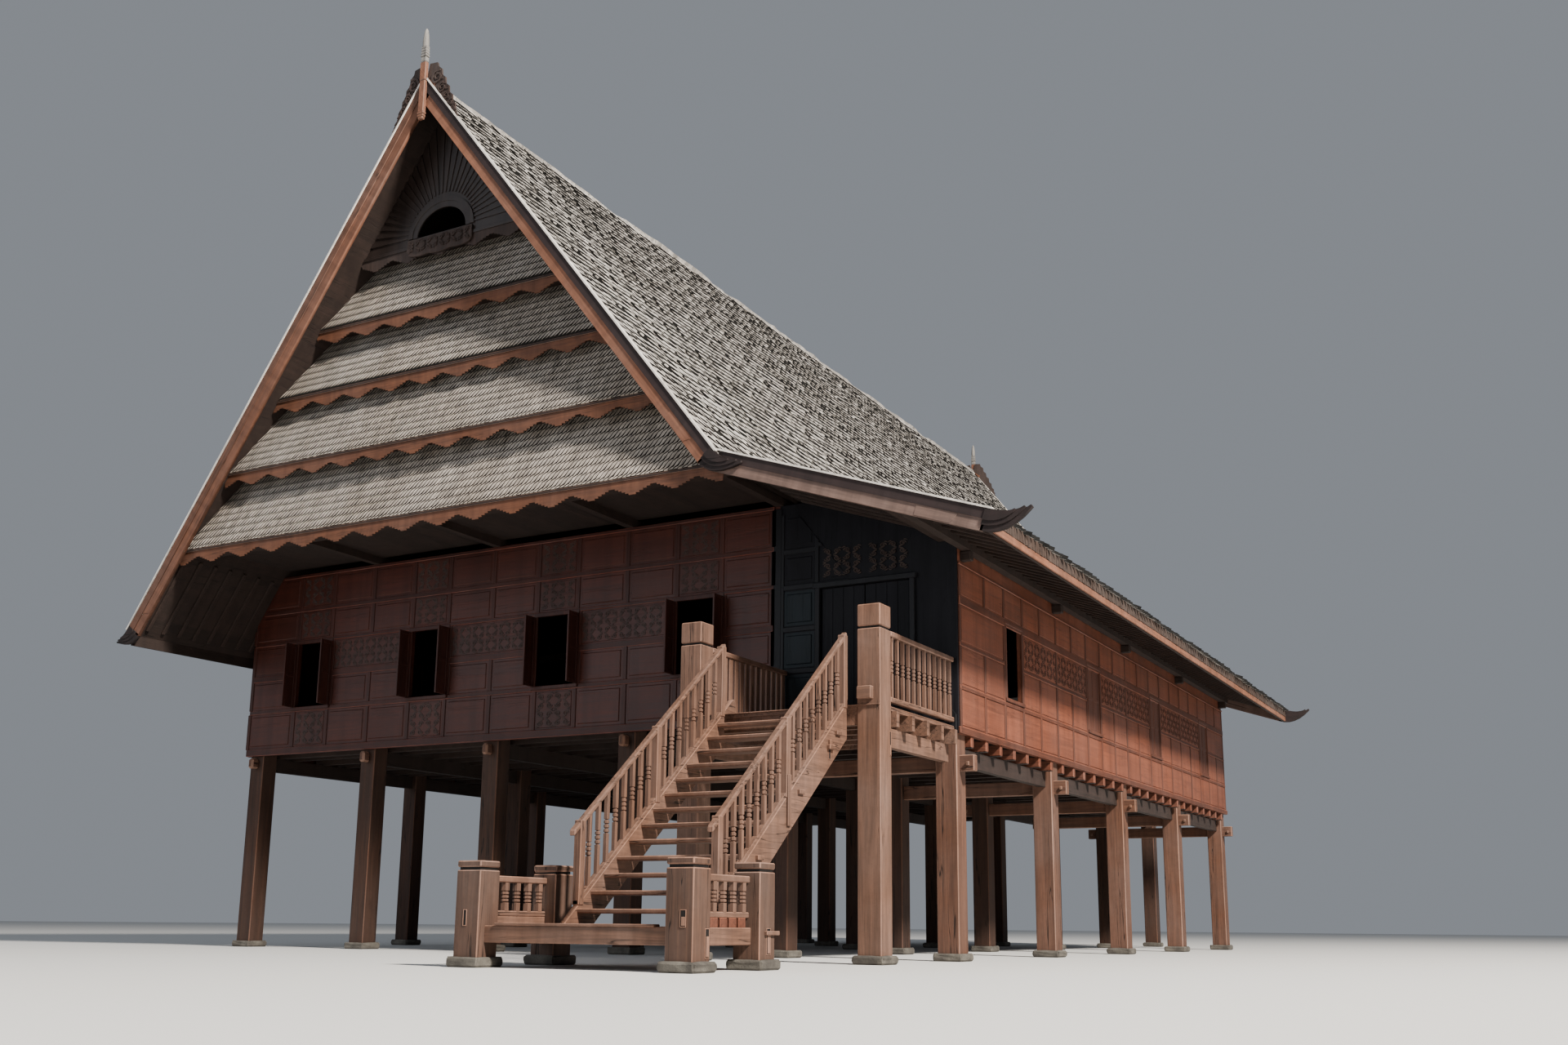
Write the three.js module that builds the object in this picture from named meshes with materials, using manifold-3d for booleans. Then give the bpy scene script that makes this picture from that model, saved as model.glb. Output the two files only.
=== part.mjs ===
// Traditional stilt house: a long timber hall under a steep gabled roof, with a lower side aisle,
// an entrance porch and an open stair. Millimetres, +Z up, +X along the front, +Y from front to back.
// The origin is under the front corner post of the aisle, on the ground.
import * as THREE from 'three';
import { mergeVertices } from 'three/addons/utils/BufferGeometryUtils.js';
import Module from 'manifold-3d';

const wasm = await Module();
wasm.setup();

// Gap that a piece keeps to the neighbour it is cut by or rests on
const GAP = 0.3;

// Post grid: five columns carry the hall, the sixth carries the aisle
const POST = 300;
const HALF = POST / 2;
const AISLE_BAY = 2465;
const HALL_BAY = 2545;
const HALL_BAYS = 4;
const ROW_PITCH = 3730;
const ROWS = 6;
const AISLE_ROWS = 5;
const PAD_WIDTH = 400;
const PAD_HEIGHT = 100;
const AISLE_X = 0;
const HALL_RIGHT_X = -AISLE_BAY;
const HALL_LEFT_X = HALL_RIGHT_X - HALL_BAYS * HALL_BAY;
const HALL_BACK_Y = (ROWS - 1) * ROW_PITCH;
const AISLE_BACK_Y = (AISLE_ROWS - 1) * ROW_PITCH;

// Floors
const AISLE_FLOOR = 2940;
const HALL_FLOOR = 3300;
const BOARD = 40;
const AISLE_JOIST = 180;
const HALL_JOIST = 110;
const BEARER = { depth: 220, width: 110 };
const JOIST_WIDTH = 80;
const AISLE_JOISTS_PER_BAY = 7;
const HALL_JOISTS_PER_BAY = 3;

// Tie beams through the posts
const TIE_WIDTH = 120;
const LOWER_TIE = [2390, 2600];
const LOWER_TIE_PROUD = 200;
const EAVE_TIE = [5180, 5310];
const EAVE_TIE_PROUD = 200;
const ATTIC_TIE = [6110, 6240];

// Walls stand on the outer faces of the posts
const WALL = 50;
const HALL_WALL_BOTTOM = 3160;
const HALL_WALL_TOP = ATTIC_TIE[1];
const AISLE_WALL_BOTTOM = 2870;
const FRONT_IN = -HALF - GAP;
const FRONT_OUT = FRONT_IN - WALL;
const RIGHT_IN = AISLE_X + HALF + GAP;
const RIGHT_OUT = RIGHT_IN + WALL;
const LEFT_IN = HALL_LEFT_X - HALF - GAP;
const LEFT_OUT = LEFT_IN - WALL;
const BACK_IN = HALL_BACK_Y + HALF + GAP;
const BACK_OUT = BACK_IN + WALL;
const AISLE_BACK_IN = AISLE_BACK_Y + HALF + GAP;
const AISLE_BACK_OUT = AISLE_BACK_IN + WALL;
const HALL_SIDE_IN = HALL_RIGHT_X + HALF + GAP;
const HALL_SIDE_OUT = HALL_SIDE_IN + WALL;
const CORNER_X = HALL_RIGHT_X + 15;

// Windows and the door
const HALL_WINDOW = { width: 720, sill: 3945, head: 5020, offset: -40 };
const AISLE_WINDOW = { width: 620, sill: 3565, head: 4620 };
const PANEL_PITCH = 755;
const WINDOW_PANELS = [2.5, 7.5, 12.5, 17.5];
const CASING = { width: 60, proud: 25 };
const SHUTTER = { thickness: 32, reach: 270 };
const DOOR = { left: -1802, right: -458, head: 4975 };
const DOOR_LEAF = { thickness: 40, clear: 5, meetingGap: 8, footClear: 10, pinRadius: 8 };

// Outer lines of the roof, seen from the front
const RIDGE = { x: -7570, z: 13240 };
const LEFT_EAVE = { x: -13233, z: 5044 };
const KINK = { x: -2200, z: 6396 };
const AISLE_EAVE = { x: 1500, z: 5131 };
const FRONT_RAKE = -2450;
const BACK_RAKE = 20350;
const AISLE_BACK_RAKE = 15400;
const RAKE_BOARD = { thickness: 60, depth: 270 };
const ROOF_TOP = 25;
const ROOF_BOTTOM = 95;
const EAVE_BOARD = { thickness: 35, depth: 240 };
const CURL = {
  left: { length: 345, rise: 90 },
  right: { length: 450, rise: 175 },
  aisle: { length: 510, rise: 130 },
};
const RIDGE_CAP = { width: 220, thickness: 30 };
const PURLIN_WIDTH = 120;

// Gables: four shingled tiers step outwards below a panel with a half-round window
const TIERS = [
  { bottom: 6230, inset: 150 },
  { bottom: 7430, inset: 230 },
  { bottom: 8580, inset: 390 },
  { bottom: 9650, inset: 470 },
];
const SUNBURST = { bottom: 10750, inset: 560, thickness: 60, reach: 490, height: 410, sill: 150 };
const TIER = { lean: 430, thickness: 70, ledge: 40 };
const VALANCE = { depth: 160, thickness: 30 };
const SOFFIT_BEAM = 120;
const KING = { width: 110, thickness: 70, bottom: 12500, top: 13480 };
const SPIRE_TIP = 14064;
const CREST = { length: 1050, height: 290, proud: 40 };

// Porch
const PORCH_FRONT = -2450;
const PORCH_POST_TOP = 4150;
const PORCH_POST_Y = PORCH_FRONT + HALF;
const PORCH_BACK = FRONT_OUT - GAP;
const GROOVE = { from: 3850, to: 3890, depth: 22 };
const PORCH_RAIL = { top: 3855, bottom: 3010, thickness: 60, width: 70 };
const PORCH_RAIL_X = { left: HALL_RIGHT_X + HALF - 35, right: AISLE_X + HALF - 35 };
const PORCH_BALUSTERS = 14;
const PORCH_JOISTS = 5;
const BALUSTER = 46;

// Stair, measured on the nosings of the first and the following treads
const STAIR = { left: -2020, right: -280, treads: 13, firstY: -2610, firstZ: 2820, rise: 187, going: 223.5 };
const STAIR_TOP_Y = PORCH_FRONT - GAP;
const STRINGER = { thickness: 70, depth: 430, lift: 30 };
const TREAD = { depth: 260, thickness: 45, inset: 20 };
const STAIR_RAIL = { lift: 880, width: 80, thickness: 70, shoe: 60, newel: 90, foot: -5250, end: -5360 };
const STAIR_BALUSTERS = 17;

// Base platform of the stair
const PLATFORM = { front: -6400, back: -4900, floor: 400, postTop: 1025 };
const PLATFORM_SILL = { bottom: 236, width: 100 };
const PLATFORM_GROOVE = { from: 935, to: 965, depth: 20 };
const PLATFORM_RAIL = { top: 890, bottom: 490, thickness: 50, width: 60 };
const PLATFORM_BALUSTERS = 5;

// Finishes
const WOOD_DARK = { color: 0x4a2a20, roughness: 0.75 };
const WOOD_RED = { color: 0x8a4a30, roughness: 0.7 };
const WOOD_POST = { color: 0x7d5844, roughness: 0.85 };
const WOOD_PALE = { color: 0x9a7560, roughness: 0.85 };
const SHINGLE = { color: 0x77716a, roughness: 0.95 };
const CARVED = { color: 0x2c2424, roughness: 0.8 };

const house = new THREE.Group();

function range(count) {
  return Array.from({ length: count }, (_, i) => i);
}

// Solids

function solid(geometry) {
  const bare = geometry.clone();
  bare.deleteAttribute('normal');
  bare.deleteAttribute('uv');
  const merged = mergeVertices(bare, 1e-3);
  const index = Array.from(merged.index.array);
  const faces = range(index.length / 3)
    .map((i) => index.slice(3 * i, 3 * i + 3))
    .filter(([a, b, c]) => a !== b && b !== c && c !== a);
  return new wasm.Manifold(new wasm.Mesh({
    numProp: 3,
    vertProperties: new Float32Array(merged.attributes.position.array),
    triVerts: new Uint32Array(faces.flat()),
  }));
}

function box(x0, x1, y0, y1, z0, z1) {
  const geometry = new THREE.BoxGeometry(x1 - x0, y1 - y0, z1 - z0);
  geometry.translate((x0 + x1) / 2, (y0 + y1) / 2, (z0 + z1) / 2);
  return solid(geometry);
}

// An outline of [x, z] points carried along Y
function alongY(points, [from, to]) {
  const [y0, y1] = [Math.min(from, to), Math.max(from, to)];
  const shape = new THREE.Shape(points.map(([x, z]) => new THREE.Vector2(x, z)));
  const geometry = new THREE.ExtrudeGeometry(shape, { depth: y1 - y0, bevelEnabled: false });
  geometry.rotateX(Math.PI / 2);
  geometry.translate(0, y1, 0);
  return solid(geometry);
}

// An outline of [y, z] points carried along X
function alongX(points, [x0, x1]) {
  const shape = new THREE.Shape(points.map(([y, z]) => new THREE.Vector2(y, z)));
  const geometry = new THREE.ExtrudeGeometry(shape, { depth: x1 - x0, bevelEnabled: false });
  geometry.applyMatrix4(new THREE.Matrix4().set(
    0, 0, 1, x0,
    1, 0, 0, 0,
    0, 1, 0, 0,
    0, 0, 0, 1,
  ));
  return solid(geometry);
}

function join(solids) {
  return solids.reduce((whole, next) => whole.add(next));
}

function cut(whole, tools) {
  return tools.reduce((rest, tool) => rest.subtract(tool), whole);
}

function place(name, body, finish) {
  const mesh = body.getMesh();
  const geometry = new THREE.BufferGeometry();
  geometry.setAttribute('position', new THREE.BufferAttribute(new Float32Array(mesh.vertProperties), 3));
  geometry.setIndex(new THREE.BufferAttribute(new Uint32Array(mesh.triVerts), 1));
  const material = new THREE.MeshStandardMaterial({ ...finish, metalness: 0, flatShading: true });
  const piece = new THREE.Mesh(geometry, material);
  piece.name = name;
  house.add(piece);
}

// Lines of the roof at a distance inside its outer surface

function grade(from, to) {
  return (to.z - from.z) / (to.x - from.x);
}

function roofLine(point, rate, offset) {
  return (x) => point.z + rate * (x - point.x) - offset * Math.hypot(1, rate);
}

const LEFT_GRADE = grade(LEFT_EAVE, RIDGE);
const RIGHT_GRADE = grade(RIDGE, KINK);
const AISLE_GRADE = grade(KINK, AISLE_EAVE);
const leftLine = (offset) => roofLine(RIDGE, LEFT_GRADE, offset);
const rightLine = (offset) => roofLine(RIDGE, RIGHT_GRADE, offset);
const aisleLine = (offset) => roofLine(KINK, AISLE_GRADE, offset);

function peakOf(offset) {
  const [left, right] = [leftLine(offset), rightLine(offset)];
  const x = RIDGE.x + (left(RIDGE.x) - right(RIDGE.x)) / (RIGHT_GRADE - LEFT_GRADE);
  return [x, left(x)];
}

// Everything above the underside of the roof
function aboveRoof(span) {
  const offset = ROOF_BOTTOM + GAP;
  const [x0, x1] = [LEFT_EAVE.x - POST, AISLE_EAVE.x + POST];
  return alongY([
    [x0, leftLine(offset)(x0)],
    peakOf(offset),
    [KINK.x, rightLine(offset)(KINK.x)],
    [KINK.x, aisleLine(offset)(KINK.x)],
    [x1, aisleLine(offset)(x1)],
    [x1, RIDGE.z],
    [x0, RIDGE.z],
  ], span);
}

const HALL_COLUMNS = range(HALL_BAYS + 1).map((i) => HALL_RIGHT_X - i * HALL_BAY);
const WINDOW_CENTRES = range(HALL_BAYS)
  .map((i) => HALL_LEFT_X + (i + 0.5) * HALL_BAY + HALL_WINDOW.offset);

// Posts and tie beams

function padAndPost(x, y, top) {
  const pad = PAD_WIDTH / 2;
  return join([
    box(x - pad, x + pad, y - pad, y + pad, 0, PAD_HEIGHT),
    box(x - HALF, x + HALF, y - HALF, y + HALF, PAD_HEIGHT / 2, top),
  ]);
}

function postRow(row) {
  const y = row * ROW_PITCH;
  const span = [y - TIE_WIDTH / 2, y + TIE_WIDTH / 2];
  const hasAisle = row < AISLE_ROWS;
  const left = HALL_LEFT_X - HALF;
  const right = (hasAisle ? AISLE_X : HALL_RIGHT_X) + HALF;
  const eaveEnd = hasAisle ? right + EAVE_TIE_PROUD : right;
  const pieces = HALL_COLUMNS.map((x) => padAndPost(x, y, x > HALL_LEFT_X ? ATTIC_TIE[1] : EAVE_TIE[1]));
  if (hasAisle) {
    const lowerLeft = HALL_RIGHT_X - HALF - LOWER_TIE_PROUD;
    pieces.push(padAndPost(AISLE_X, y, EAVE_TIE[1]));
    pieces.push(box(lowerLeft, right + LOWER_TIE_PROUD, ...span, ...LOWER_TIE));
  }
  pieces.push(box(left, eaveEnd, ...span, ...EAVE_TIE));
  pieces.push(box(HALL_LEFT_X + HALL_BAY, HALL_RIGHT_X + HALF, ...span, ...ATTIC_TIE));
  place(`post_row_${row + 1}`, join(pieces), WOOD_POST);
}

// Floors: boards on joists that lie across, on bearers between the posts

function postHoles(columns, rows, z0, z1) {
  const r = HALF + GAP;
  return columns.flatMap((x) => rows.map((y) => box(x - r, x + r, y - r, y + r, z0, z1)));
}

function floorDeck({ deck: [x0, x1, y0, y1], joistEnds, joistYs, top, joist, columns, rows }) {
  const under = top - BOARD;
  const low = under - joist;
  const pieces = [box(x0, x1, y0, y1, under, top)];
  for (const y of joistYs) {
    pieces.push(box(...joistEnds, y - JOIST_WIDTH / 2, y + JOIST_WIDTH / 2, low, under + 1));
  }
  for (const x of columns) {
    const half = BEARER.width / 2;
    pieces.push(box(x - half, x + half, y0, y1, low - BEARER.depth, low + 1));
  }
  return cut(join(pieces), postHoles(columns, rows, low - BEARER.depth - 1, top + 1));
}

function joistPlaces(bays, perBay) {
  const pitch = ROW_PITCH / perBay;
  return range(bays * perBay).map((i) => (i + 0.5) * pitch);
}

function floors() {
  const hallEnds = [HALL_LEFT_X - HALF, HALL_RIGHT_X + HALF];
  place('hall_floor', floorDeck({
    deck: [...hallEnds, -HALF, HALL_BACK_Y + HALF],
    joistEnds: hallEnds,
    joistYs: joistPlaces(ROWS - 1, HALL_JOISTS_PER_BAY),
    top: HALL_FLOOR,
    joist: HALL_JOIST,
    columns: HALL_COLUMNS,
    rows: range(ROWS).map((row) => row * ROW_PITCH),
  }), WOOD_DARK);

  const left = HALL_RIGHT_X + HALF + GAP;
  const aisle = floorDeck({
    deck: [left, AISLE_X + HALF, -HALF, AISLE_BACK_Y + HALF],
    joistEnds: [left, RIGHT_OUT],
    joistYs: joistPlaces(AISLE_ROWS - 1, AISLE_JOISTS_PER_BAY),
    top: AISLE_FLOOR,
    joist: AISLE_JOIST,
    columns: [AISLE_X],
    rows: range(AISLE_ROWS).map((row) => row * ROW_PITCH),
  });
  const wallFoot = box(
    AISLE_X + HALF, RIGHT_OUT + 1, -HALF, AISLE_BACK_Y + HALF, AISLE_WALL_BOTTOM, AISLE_FLOOR,
  );
  const threshold = box(DOOR.left, DOOR.right, FRONT_OUT, 0, AISLE_FLOOR - BOARD, AISLE_FLOOR);
  place('aisle_floor', aisle.subtract(wallFoot).add(threshold), WOOD_DARK);
}

// Walls

function windowHole(centre, window, span) {
  const half = window.width / 2;
  return box(centre - half, centre + half, ...span, window.sill, window.head);
}

function windowEdges(centres, window) {
  return centres.flatMap((c) => [c - window.width / 2, c + window.width / 2]);
}

function endWall(x0, x1, span, bottom, top) {
  return box(x0, x1, ...span, bottom, top).subtract(aboveRoof([span[0] - 1, span[1] + 1]));
}

function frontWalls() {
  const span = [FRONT_OUT, FRONT_IN];
  const wall = (x0, x1, bottom, top = HALL_WALL_TOP) => endWall(x0, x1, span, bottom, top);
  place('front_wall_lower', wall(LEFT_OUT, CORNER_X, HALL_WALL_BOTTOM, HALL_WINDOW.sill), WOOD_RED);
  place('front_wall_upper', wall(LEFT_OUT, CORNER_X, HALL_WINDOW.head), WOOD_RED);
  const edges = [LEFT_OUT, ...windowEdges(WINDOW_CENTRES, HALL_WINDOW), CORNER_X];
  for (const i of range(HALL_BAYS + 1)) {
    const [x0, x1] = edges.slice(2 * i, 2 * i + 2);
    place(`front_wall_pier_${i + 1}`, wall(x0, x1, HALL_WINDOW.sill, HALL_WINDOW.head), WOOD_RED);
  }
  place('entry_wall_left', wall(CORNER_X, DOOR.left, AISLE_WALL_BOTTOM), WOOD_DARK);
  place('entry_wall_right', wall(DOOR.right, RIGHT_OUT, AISLE_WALL_BOTTOM), WOOD_DARK);
  place('entry_wall_over', wall(DOOR.left, DOOR.right, DOOR.head), WOOD_DARK);
}

// Shutters that stand closed are set back in the wall on both sides
function closedShutters([x0, x1], centres, window) {
  const half = window.width / 2;
  const inset = (WALL - SHUTTER.thickness) / 2;
  return join(centres.map((y) => box(
    x0 + inset, x1 - inset, y - half - 1, y + half + 1, window.sill - 1, window.head + 1,
  )));
}

function longWall([x0, x1], [y0, y1], [bottom, top], centres, window) {
  const half = window.width / 2;
  const holes = centres.map((y) => box(x0 - 1, x1 + 1, y - half, y + half, window.sill, window.head));
  return cut(box(x0, x1, y0, y1, bottom, top), [...holes, aboveRoof([y0 - 1, y1 + 1])]);
}

function sideWalls() {
  const centres = WINDOW_PANELS.map((panel) => panel * PANEL_PITCH);
  const right = [RIGHT_IN, RIGHT_OUT];
  const height = [AISLE_WALL_BOTTOM, HALL_WALL_TOP];
  const wall = longWall(right, [FRONT_IN, AISLE_BACK_IN], height, centres, AISLE_WINDOW);
  const ties = range(AISLE_ROWS).map((row) => {
    const half = TIE_WIDTH / 2 + GAP;
    const y = row * ROW_PITCH;
    return box(RIGHT_IN - 1, RIGHT_OUT + 1, y - half, y + half, EAVE_TIE[0] - GAP, EAVE_TIE[1] + GAP);
  });
  const whole = cut(wall.add(closedShutters(right, centres.slice(1), AISLE_WINDOW)), ties);
  const parting = centres[0] + AISLE_WINDOW.width / 2;
  const bayFrom = (y0, y1) => whole.intersect(box(RIGHT_IN - 1, RIGHT_OUT + 1, y0, y1, 0, RIDGE.z));
  place('side_wall_front', bayFrom(FRONT_OUT, parting - GAP), WOOD_RED);
  place('side_wall_back', bayFrom(parting, BACK_OUT), WOOD_RED);

  const left = [LEFT_OUT, LEFT_IN];
  const bays = range(ROWS - 1).map((bay) => (bay + 0.5) * ROW_PITCH);
  const long = longWall(left, [FRONT_IN, BACK_IN], [HALL_WALL_BOTTOM, HALL_WALL_TOP], bays, HALL_WINDOW);
  place('left_wall', long.add(closedShutters(left, bays, HALL_WINDOW)), WOOD_RED);
}

function backWalls() {
  const span = [BACK_IN, BACK_OUT];
  const inset = (WALL - SHUTTER.thickness) / 2;
  const holes = WINDOW_CENTRES.map((x) => windowHole(x, HALL_WINDOW, [BACK_IN - 1, BACK_OUT + 1]));
  const shutters = WINDOW_CENTRES.map((x) => {
    const wide = { ...HALL_WINDOW, width: HALL_WINDOW.width + 2 };
    return windowHole(x, wide, [BACK_IN + inset, BACK_OUT - inset]);
  });
  const wall = cut(endWall(LEFT_OUT, HALL_SIDE_OUT, span, HALL_WALL_BOTTOM, HALL_WALL_TOP), holes);
  place('back_wall', join([wall, ...shutters]), WOOD_RED);

  place('aisle_back_wall', endWall(
    HALL_SIDE_OUT, RIGHT_OUT, [AISLE_BACK_IN, AISLE_BACK_OUT], AISLE_WALL_BOTTOM, HALL_WALL_TOP,
  ), WOOD_RED);
  place('hall_side_wall', box(
    HALL_SIDE_IN, HALL_SIDE_OUT, AISLE_BACK_IN, BACK_IN, HALL_WALL_BOTTOM, KINK.z,
  ).subtract(aboveRoof([AISLE_BACK_IN - 1, BACK_IN + 1])), WOOD_RED);
}

// Front windows: a casing on the wall with its two leaves folded outwards
function openWindow(index, centre) {
  const { sill, head, width } = HALL_WINDOW;
  const half = width / 2;
  const proud = FRONT_OUT - CASING.proud;
  const casing = box(
    centre - half - CASING.width, centre + half + CASING.width, proud, FRONT_OUT,
    sill - CASING.width, head + CASING.width,
  ).subtract(windowHole(centre, HALL_WINDOW, [proud - 1, FRONT_OUT + 1]));
  const leaf = (x) => box(x, x + SHUTTER.thickness, FRONT_OUT - SHUTTER.reach, proud + 1, sill, head);
  place(`window_${index + 1}`, join([
    casing,
    leaf(centre - half - SHUTTER.thickness),
    leaf(centre + half),
  ]), WOOD_DARK);
}

function upright(x, y, radius, z0, z1) {
  const geometry = new THREE.CylinderGeometry(radius, radius, z1 - z0, 12);
  geometry.rotateX(Math.PI / 2);
  geometry.translate(x, y, (z0 + z1) / 2);
  return solid(geometry);
}

// A door leaf turns on wooden pins in its rounded heel and opens inwards
function doorLeaf(name, heelX, meetX) {
  const y = (FRONT_OUT + FRONT_IN) / 2;
  const half = DOOR_LEAF.thickness / 2;
  const z = [AISLE_FLOOR + DOOR_LEAF.footClear, DOOR.head - DOOR_LEAF.clear];
  place(name, join([
    box(Math.min(heelX, meetX), Math.max(heelX, meetX), y - half, y + half, ...z),
    upright(heelX, y, half, ...z),
    upright(heelX, y, DOOR_LEAF.pinRadius, AISLE_FLOOR + GAP, DOOR.head - GAP),
  ]), WOOD_DARK);
}

function doorLeaves() {
  const middle = (DOOR.left + DOOR.right) / 2;
  const heel = DOOR_LEAF.clear + DOOR_LEAF.thickness / 2;
  const meet = DOOR_LEAF.meetingGap / 2;
  doorLeaf('door_leaf_left', DOOR.left + heel, middle - meet);
  doorLeaf('door_leaf_right', DOOR.right - heel, middle + meet);
}

// Roof

function roofSlab(line, [x0, x1], span) {
  const [low, high] = [line(ROOF_BOTTOM), line(ROOF_TOP)];
  return alongY([[x0, low(x0)], [x1, low(x1)], [x1, high(x1)], [x0, high(x0)]], span);
}

// A board hangs along each eave and shares the solid of its slope
function eaveBoard(line, x, inwards, span) {
  const inner = x + inwards * EAVE_BOARD.thickness;
  const high = line(ROOF_TOP);
  const low = Math.min(high(x), high(inner)) - EAVE_BOARD.depth;
  return alongY([[x, low], [inner, low], [inner, high(inner)], [x, high(x)]], span);
}

function roofs() {
  const hall = [FRONT_RAKE + RAKE_BOARD.thickness, BACK_RAKE - RAKE_BOARD.thickness];
  const aisle = [FRONT_RAKE + 2 * RAKE_BOARD.thickness, AISLE_BACK_RAKE - RAKE_BOARD.thickness];
  const [x0, x1] = [LEFT_EAVE.x, AISLE_EAVE.x];
  const left = roofSlab(leftLine, [x0, RIDGE.x - GAP], hall);
  place('roof_left', left.add(eaveBoard(leftLine, x0, 1, hall)), SHINGLE);
  place('roof_right', roofSlab(rightLine, [RIDGE.x, KINK.x], hall), SHINGLE);
  const low = roofSlab(aisleLine, [KINK.x + GAP, x1], aisle);
  place('roof_aisle', low.add(eaveBoard(aisleLine, x1, -1, aisle)), SHINGLE);

  const { width, thickness } = RIDGE_CAP;
  const lines = [leftLine(ROOF_TOP - GAP), rightLine(ROOF_TOP - GAP)];
  const feet = [RIDGE.x - width, RIDGE.x + width];
  const crown = Math.max(lines[0](RIDGE.x), lines[1](RIDGE.x));
  place('ridge_cap', alongY([
    [feet[0], lines[0](feet[0])],
    [RIDGE.x, crown],
    [feet[1], lines[1](feet[1])],
    [feet[1], lines[1](feet[1]) + thickness],
    [RIDGE.x, crown + thickness],
    [feet[0], lines[0](feet[0]) + thickness],
  ], hall), SHINGLE);
}

function direction(from, to) {
  const length = Math.hypot(to.x - from.x, to.z - from.z);
  return { x: (to.x - from.x) / length, z: (to.z - from.z) / length };
}

// Points given as distances down a slope and out from it
function onSlope(origin, down, points) {
  const side = Math.sign(down.x);
  return points.map(({ x: u, y: v }) => [
    origin.x + down.x * u - side * down.z * v,
    origin.z + down.z * u + side * down.x * v,
  ]);
}

// The upturned end of a bargeboard
function curlOutline({ length, rise }) {
  const depth = RAKE_BOARD.depth;
  const shape = new THREE.Shape();
  shape.moveTo(-10, 0);
  shape.lineTo(-10, -depth);
  shape.quadraticCurveTo(0.6 * length, -1.05 * depth, 0.82 * length, -0.3 * depth);
  shape.lineTo(length, rise);
  shape.lineTo(0.92 * length, rise + 0.12 * depth);
  shape.quadraticCurveTo(0.72 * length, -0.05 * depth, 0.35 * length, 0);
  shape.closePath();
  return shape.extractPoints(4).shape;
}

function rakeBoard(line, fromX, eave, tip, span) {
  const down = direction({ x: fromX, z: line(0)(fromX) }, eave);
  const heelX = eave.x + Math.sign(down.x) * down.z * RAKE_BOARD.depth;
  const strip = alongY([
    [fromX, line(0)(fromX)],
    [eave.x, line(0)(eave.x)],
    [heelX, line(RAKE_BOARD.depth)(heelX)],
    [fromX, line(RAKE_BOARD.depth)(fromX)],
  ], span);
  return strip.add(alongY(onSlope(eave, down, curlOutline(tip)), span));
}

function bargeboards(end, hallSpan, aisleSpan) {
  const left = rakeBoard(leftLine, RIDGE.x - GAP, LEFT_EAVE, CURL.left, hallSpan);
  const right = rakeBoard(rightLine, RIDGE.x, KINK, CURL.right, hallSpan);
  const aisle = rakeBoard(aisleLine, KINK.x + GAP, AISLE_EAVE, CURL.aisle, aisleSpan);
  place(`bargeboard_${end}_left`, left, WOOD_PALE);
  place(`bargeboard_${end}_right`, right, WOOD_PALE);
  place(`bargeboard_${end}_aisle`, aisle, WOOD_PALE);
}

// The outer purlin lies on the ends of the eave ties and carries the aisle roof
function aislePurlin() {
  const x1 = AISLE_X + HALF + EAVE_TIE_PROUD;
  const x0 = x1 - PURLIN_WIDTH;
  const under = aisleLine(ROOF_BOTTOM + GAP);
  const first = FRONT_RAKE + 2 * RAKE_BOARD.thickness;
  const span = [first, AISLE_BACK_RAKE - RAKE_BOARD.thickness - HALF];
  place('aisle_purlin', alongY([
    [x0, EAVE_TIE[1]],
    [x1, EAVE_TIE[1]],
    [x1, under(x1)],
    [x0, under(x0)],
  ], span), WOOD_POST);
}

// Gables

// The triangle between the two slopes, from below the lowest valance up to the peak
function gableRoom(span) {
  const offset = ROOF_BOTTOM + GAP;
  const [peakX, peakZ] = peakOf(offset);
  const low = TIERS[0].bottom - VALANCE.depth - 1;
  return alongY([
    [peakX - (peakZ - low) / LEFT_GRADE, low],
    [peakX - (peakZ - low) / RIGHT_GRADE, low],
    [peakX, peakZ],
  ], span);
}

// A tier leans back above its foot board, and a valance hangs in front of the foot
function tierPanel(tier, top, y) {
  const outline = [
    [y(tier.inset), tier.bottom - VALANCE.depth],
    [y(tier.inset + VALANCE.thickness), tier.bottom - VALANCE.depth],
    [y(tier.inset + VALANCE.thickness), tier.bottom],
    [y(tier.inset + TIER.lean + TIER.thickness), tier.bottom],
    [y(tier.inset + TIER.lean + TIER.thickness), tier.bottom + TIER.ledge],
    [y(tier.inset + TIER.thickness), tier.bottom + TIER.ledge],
    [y(tier.inset + TIER.lean + TIER.thickness), top],
    [y(tier.inset + TIER.lean), top],
    [y(tier.inset), tier.bottom + TIER.ledge],
  ];
  return alongX(outline, [LEFT_EAVE.x, AISLE_EAVE.x]);
}

function sunburstPanel(y) {
  const { bottom, inset, thickness, reach, height, sill } = SUNBURST;
  const width = [LEFT_EAVE.x, AISLE_EAVE.x];
  const lastTier = TIERS[TIERS.length - 1];
  const half = new THREE.Shape();
  half.absellipse(RIDGE.x, bottom + sill, reach, height, 0, Math.PI, false);
  const arc = half.extractPoints(8).shape.map((p) => [p.x, p.y]);
  const opening = alongY(arc, [y(inset - 1), y(inset + thickness + 1)]);
  const panel = alongX([
    [y(inset), bottom - VALANCE.depth],
    [y(inset + VALANCE.thickness), bottom - VALANCE.depth],
    [y(inset + VALANCE.thickness), bottom],
    [y(lastTier.inset + TIER.lean + TIER.thickness), bottom],
    [y(lastTier.inset + TIER.lean + TIER.thickness), bottom + TIER.ledge],
    [y(inset + thickness), bottom + TIER.ledge],
    [y(inset + thickness), RIDGE.z],
    [y(inset), RIDGE.z],
  ], width);
  return panel.subtract(opening);
}

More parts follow.
